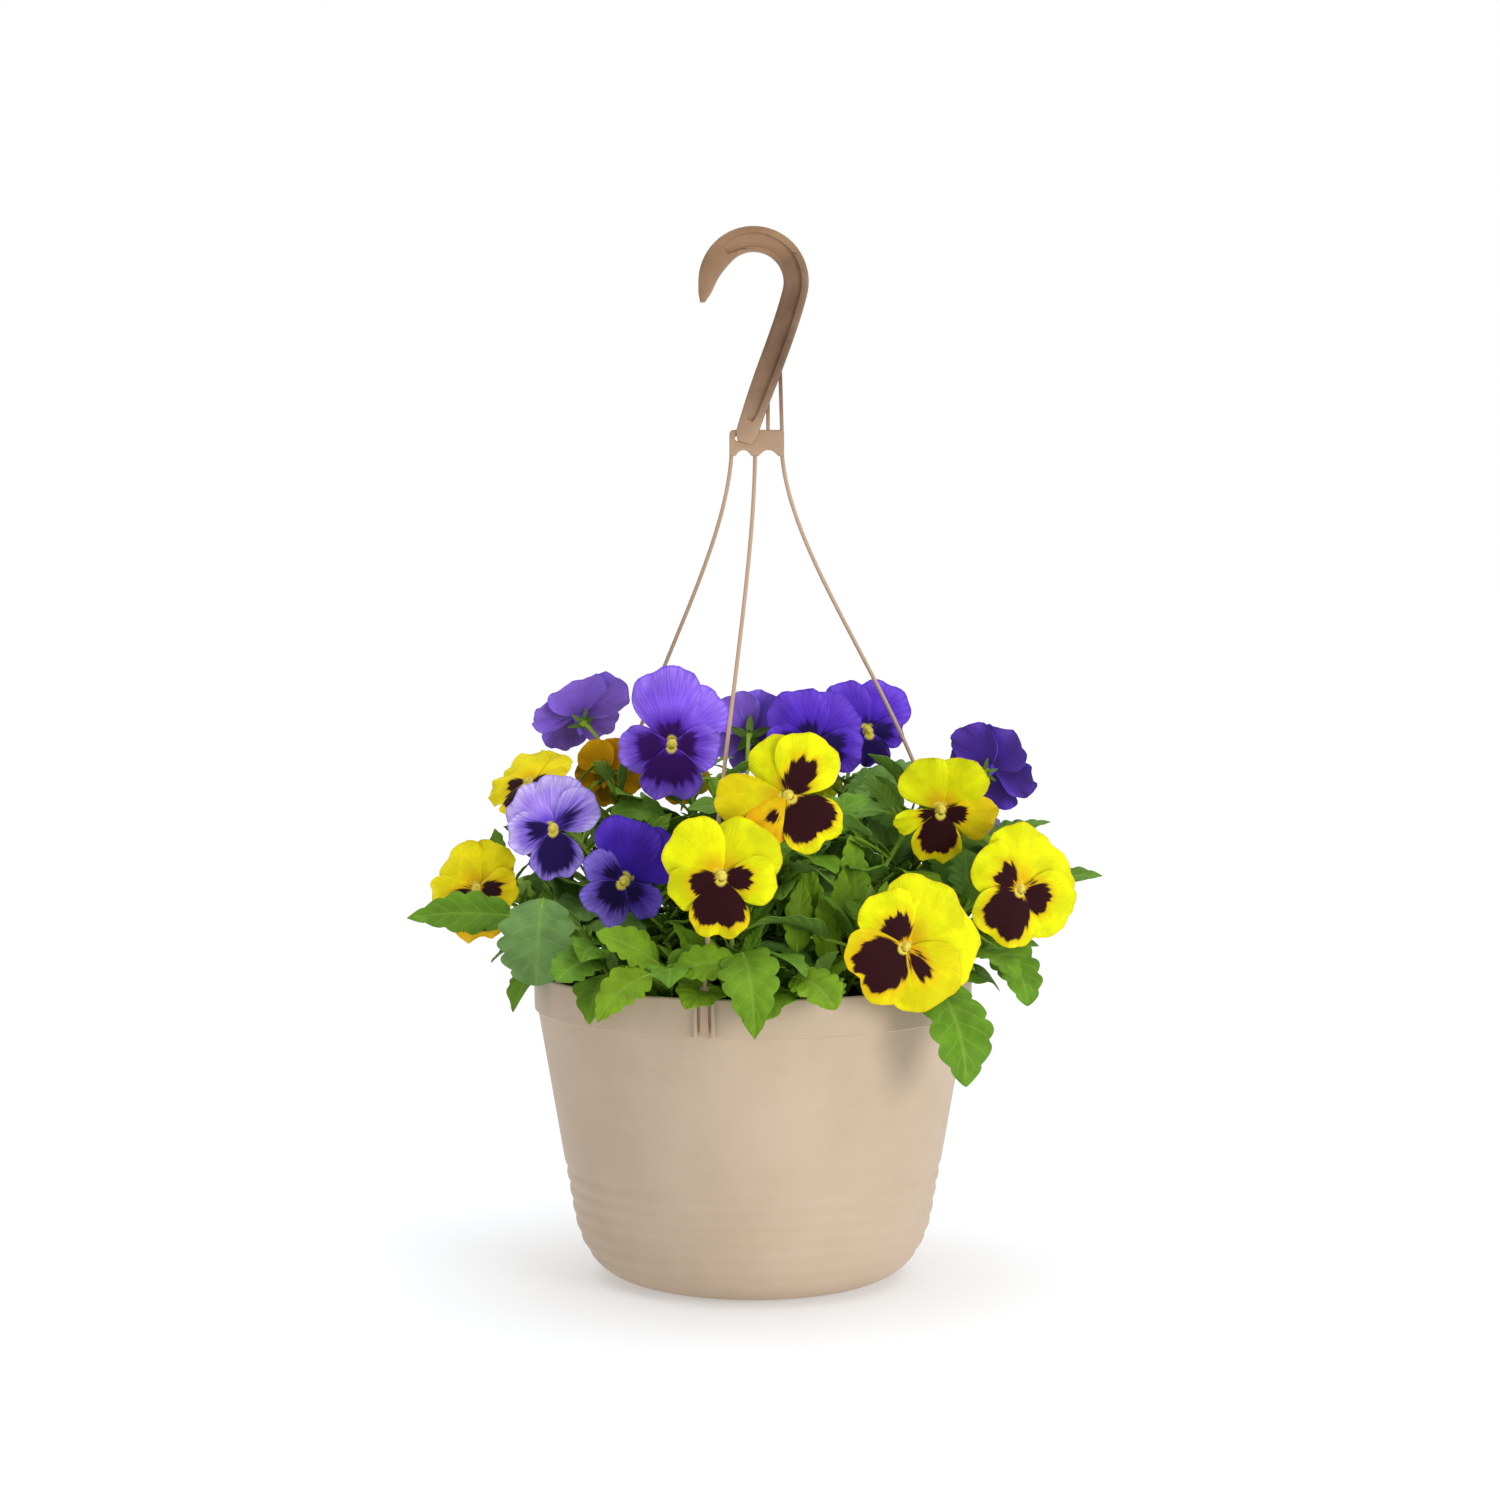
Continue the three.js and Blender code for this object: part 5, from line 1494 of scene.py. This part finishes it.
# %% Faces with their own petals
OWN_PETALS = {
    "y3": [
        (-6, 0.88, 46, 0), (46, 0.98, 62, -0.08), (136, 1, 56, -0.04),
        (199, 0.86, 44, 0), (268, 1, 50, 0.05),
    ],
    "y4": [
        (28, 1, 56, 0), (70, 0.93, 52, -0.12), (150, 1.1, 34, -0.06),
        (200, 0.84, 42, 0.06), (276, 0.96, 54, 0.04),
    ],
    "y5": [
        (-9, 1.04, 38, -0.06), (62, 0.92, 50, 0.25), (122, 0.92, 50, 0.25),
        (204, 0.86, 24, 0), (268, 0.96, 50, 0.05),
    ],
    "y6": [
        (5, 0.92, 66, 0), (62, 1, 58, -0.1), (117, 1, 56, -0.05), (172, 0.86, 58, 0), (268, 0.94, 64, 0.04),
    ],
    "y7": [
        (-2, 0.94, 70, 0), (56, 1.06, 62, -0.1), (112, 1.02, 58, -0.05),
        (168, 0.84, 60, 0), (266, 0.92, 68, 0.04),
    ],
    "y8": [
        (-8, 0.8, 46, 0), (58, 0.86, 56, -0.1), (119, 0.88, 58, -0.05),
        (188, 0.94, 48, 0), (270, 0.92, 56, 0.05),
    ],
    "v2": [
        (-8, 0.84, 50, 0), (48, 0.92, 44, -0.14), (97, 1.08, 47, -0.05),
        (186, 0.94, 46, 0), (268, 1, 56, 0.05),
    ],
    "v5": [
        (-6, 0.74, 44, 0), (50, 0.98, 54, -0.08), (124, 0.98, 52, -0.04),
        (188, 0.8, 42, 0), (276, 0.74, 50, 0.04),
    ],
    "v7": [
        (44, 0.92, 48, 0), (94, 0.9, 52, -0.08), (152, 0.94, 50, -0.12),
        (196, 0.86, 46, 0), (288, 0.94, 56, 0.05),
    ],
    "v8": [
        (-20, 0.9, 42, 0), (66, 1.04, 50, 0), (112, 1.06, 52, 0.04), (176, 0.88, 44, 0), (256, 1, 54, 0.06),
    ],
}
OWN_BLOTCHES = {
    "y3": [(0.29, 0.21, 0.19), (0.3, 0.21, 0.19), (0.44, 0.36, 0.45)],
    "y4": [(0.34, 0.31, 0.21), (0.42, 0.12, 0.09), (0.44, 0.34, 0.42)],
    "y5": [(0.28, 0.2, 0.17), (0.24, 0.16, 0.12), (0.42, 0.37, 0.34)],
    "y6": [(0.29, 0.21, 0.25), (0.3, 0.16, 0.21), (0.44, 0.36, 0.37)],
    "y7": [(0.33, 0.22, 0.14), (0.29, 0.19, 0.22), (0.44, 0.37, 0.37)],
    "y8": [(0.34, 0.22, 0.14), (0.34, 0.24, 0.1), (0.44, 0.3, 0.36)],
    "v2": [
        (0.28, 0.18, 0.26), (0.38, 0.24, 0.28), (0.42, 0.3, 0.48), (0.2, 0.12, 0.16), (0.22, 0.16, 0.2),
    ],
    "v7": [(0.34, 0.26, 0.13), (0.27, 0.2, 0.18), (0.44, 0.38, 0.36)],
    "v4": [
        (0.34, 0.26, 0.26), (0.4, 0.28, 0.28), (0.42, 0.3, 0.42), (0.2, 0.16, 0.2), (0.24, 0.2, 0.2),
    ],
    "v8": [(0.3, 0.2, 0.2), (0.3, 0.16, 0.16), (0.36, 0.24, 0.34)],
}
# how far some petals turn to their bloom's tint
TINTS = {
    "y3": {"lower": 0.15}, "y4": {"left": 0.9, "upper_left": 0.35},
    "y7": {"lower": 0.3, "right": 0.2}, "y5": {"right": 0.5, "lower": 0.2},
    "y8": {"lower": 0.6, "right": 0.15}, "y1": {"right": 0.2},
    "v7": {"right": 0.6, "upper_right": 0.2}, "v8": {"lower": 0.75, "left": 0.7, "right": 0.3},
    "v2": {"left": 0.25}, "v6": {"left": 0.4, "upper_left": 0.3}, "v1": {"upper_left": 0.3},
}
# how far a face's eye lies from the stem's end, in millimetres to the right and up
EYE_SHIFT = {"y3": (0, 5), "y8": (2, 6)}
print("faces with petals of their own:", len(OWN_PETALS), "with blotches:", len(OWN_BLOTCHES))

# %% [markdown]
# ## Petals
# Long waves and a finer ruffle move each margin, most at its edge, so the light
# breaks up as it does on a soft petal. The lower petal lies over the side ones, and
# they lie over the two upper ones.

# %% One petal
PETAL_BLADE = 0.5
# how far the yellow of the eye runs out along a petal and across it, in millimetres
SIDE_EYE, UPPER_EYE, LOWER_EYE = (3.4, 3.0), (5.8, 3.8), (5.6, 3.8)
EYE_SIZE = dict(zip(KINDS, (SIDE_EYE, UPPER_EYE, UPPER_EYE, SIDE_EYE, LOWER_EYE)))
BLOTCH_SQUARENESS = 2.7


def blotch_depth(patch, ahead, aside):
    """How deep a point lies inside a rounded patch, as a share of the radius."""
    middle, half_length, half_width = patch
    power = BLOTCH_SQUARENESS
    tip = 0.16 * half_length * np.exp(-((aside / (0.2 * half_width)) ** 2)) * (ahead > middle)
    long = np.abs(ahead - middle) / (half_length - tip)
    wide = np.abs(aside) / half_width
    return (1 - (long**power + wide**power) ** (1 / power)) * min(half_length, half_width)


def fine_petal(form, face, kind, petal, phase, rows=15, columns=35):
    at, reach, half, lean = petal
    if "upper" in kind:
        reach = reach * face.tall
    q = np.linspace(0, 1, rows)[:, None]
    s = 0.09 + 0.91 * (1 - (1 - q) ** 1.35)
    t = 0.985 * np.sin(np.linspace(-1, 1, columns) * math.pi / 2)[None, :]
    margin = (1 - np.abs(t) ** 3) ** 0.42
    if kind == "lower":
        margin = margin * (1 - 0.1 * np.exp(-((t / 0.16) ** 2)))
    lobes = 0.02 * np.sin(5.6 * t + 2.3 * phase) + 0.014 * np.sin(12 * t + 2 * phase)
    lobes = lobes + 0.007 * np.sin(25 * t + phase)
    out = s * reach * margin * (1 + lobes * s**3)
    angle = np.radians(at + half * t)
    wave = 0.045 * np.sin(4.6 * t + phase)
    rise = LAYER[kind] + face.radius * (lean + wave) * out**2
    ruffle = 0.042 * np.sin(11.5 * t + 1.7 * phase) + 0.016 * np.sin(26 * t + 3 * phase)
    rise = rise + face.radius * ruffle * s**5 * (1 - 0.5 * np.abs(t) ** 3)
    rise = rise + face.radius * 0.07 * np.sin(math.pi * s) * (1 - t**2)
    across = face.radius * out * np.cos(angle)
    up = face.radius * out * np.sin(angle)
    shift_across, shift_up = EYE_SHIFT.get(face.name, (0, 0))
    middle = face.place(across + shift_across, up + shift_up, rise)
    ahead, aside = out * np.cos(np.radians(half * t)), out * np.sin(np.radians(half * t))
    patches = OWN_BLOTCHES.get(face.name, PLAIN_BLOTCH[face.colour])
    patch = dict(zip(BLOTCHED, patches)).get(kind)
    blotch = blotch_depth(patch, ahead, aside) if patch else np.full_like(out, -0.3)
    eye_long, eye_wide = EYE_SIZE[kind]
    eye = 1 - face.radius * np.hypot(ahead / eye_long, aside / eye_wide)
    tint = TINTS.get(face.name, {}).get(kind, 0) * smooth_step(s, 0.15, 0.95) * np.ones_like(t)
    thickness = PETAL_BLADE * (1 - 0.5 * s**8) * np.ones_like(t)
    blade(form, middle, thickness, along=s, across=t, blotch=blotch, eye=eye, tint=tint, tone=draw())


# %% The neck, the spur and the throat
def ball(form, place, size, finish, **values):
    shape = bmesh.new()
    bmesh.ops.create_icosphere(shape, subdivisions=2, radius=1)
    add_shape(form, shape, np.array([v.co for v in shape.verts]) * size + place, finish, **values)


# how far up from the eye, and how far out of the face
SPUR = ((-1.4, -1.0), (-2.6, -4.4), (-4.4, -7.8), (-6.2, -11.0))
BEARD_HAIRS = 9


def throat(form, face):
    """The neck and spur behind the petals, and the knob and beard in the eye."""
    x, y = EYE_SHIFT.get(face.name, (0, 0))
    plain = dict(across=0.3, blotch=-1, eye=-1, tone=0.5, under=1)
    neck = [face.place(x, y, d) for d in (-4.0, -2.5, -0.5, 1.2)]
    tube(form, neck, [2.0, 2.8, 3.2, 1.4], 12, 0, along=0.25, **plain)
    spur = [face.place(x, y + rise, d) for rise, d in SPUR]
    tube(form, spur, [2.2, 1.8, 1.6, 0.9], 10, 0, along=0.4, **plain)
    # The cup and the knob get light tones so that the shade inside the cup doesn't show as a dark ring:
    # painted light.
    cup = [face.place(x, y + 0.4, d) for d in (0.6, 1.9, 2.7)]
    tube(form, cup, [3.0, 2.8, 2.0], 14, 1, tone=0.85)
    ball(form, face.place(x, y + 0.2, 2.6), 1.9, 1, tone=0.6)
    for side in (-1, 1):
        for _ in range(BEARD_HAIRS):
            angle = math.radians(draw(-50, 40))
            root = face.place(x + side * draw(1.2, 2.2), y + draw(-0.6, 1.6), 2.4)
            tip = root + face.right * -side * 0.5 + face.up * math.sin(angle)
            tip = tip + face.normal * draw(1.0, 1.8)
            tube(form, [root, (root + tip) / 2, tip], [0.3, 0.26, 0.08], 4, 1, tone=0.9)


# %% Make the blooms
BLOOM_FINISH = {
    "v1": "violet", "v2": "violet", "v3": "violet", "v4": "deep", "v5": "deep", "v6": "deep",
    "v7": "lavender", "v8": "indigo", "y1": "golden", "y2": "amber", "y8": "golden", "y9": "amber",
    "v9": "violet", "v10": "deep", "v11": "lavender", "y11": "golden",
}
for name, face in faces.items():
    form = Form()
    for kind, petal, phase in zip(KINDS, OWN_PETALS.get(name, PLAIN), petal_phases[name]):
        fine_petal(form, face, kind, petal, phase)
    throat(form, face)
    finish = petal_finishes[BLOOM_FINISH.get(name, "lemon")]
    mesh = mesh_of(f"pansy_{name}", form)
    place_piece(f"pansy_{name}", mesh, [finish, throat_paint], f"bloom_{name}")
print("blooms made:", len(faces), "triangles so far:", sum(triangle_count.values()))

# %% [markdown]
# ## Floor and last measurements
# The floor is a very large pale square, so its edge stays out of sight. A little
# light of its own lifts it to the white of the sky, and leaves only the soft shadow
# round the pot's foot.

# %% Make the floor
FLOOR_REACH = 30000
corners = [(-1, -1), (1, -1), (1, 1), (-1, 1)]
floor_form = Form()
floor_points = np.array([(x * FLOOR_REACH, y * FLOOR_REACH, -0.2) for x, y in corners])
floor_form.add(floor_points, [np.array([[0, 1, 2, 3]])])
floor = bpy.data.objects.new("floor", mesh_of("floor", floor_form))
scene.collection.objects.link(floor)
floor_paint, tree, shader = new_finish("floor_paint", 0.9)
shader.inputs["Base Color"].default_value = (0.69, 0.71, 0.735, 1)
shader.inputs["Emission Color"].default_value = (1, 1, 1, 1)
shader.inputs["Emission Strength"].default_value = 0.33
floor.data.materials.append(floor_paint)
print("floor reaches", FLOOR_REACH * MM, "m each way")

# %% Measure and finish
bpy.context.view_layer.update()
print("triangles:", sum(triangle_count.values()), "most in one piece:", max(triangle_count.values()))
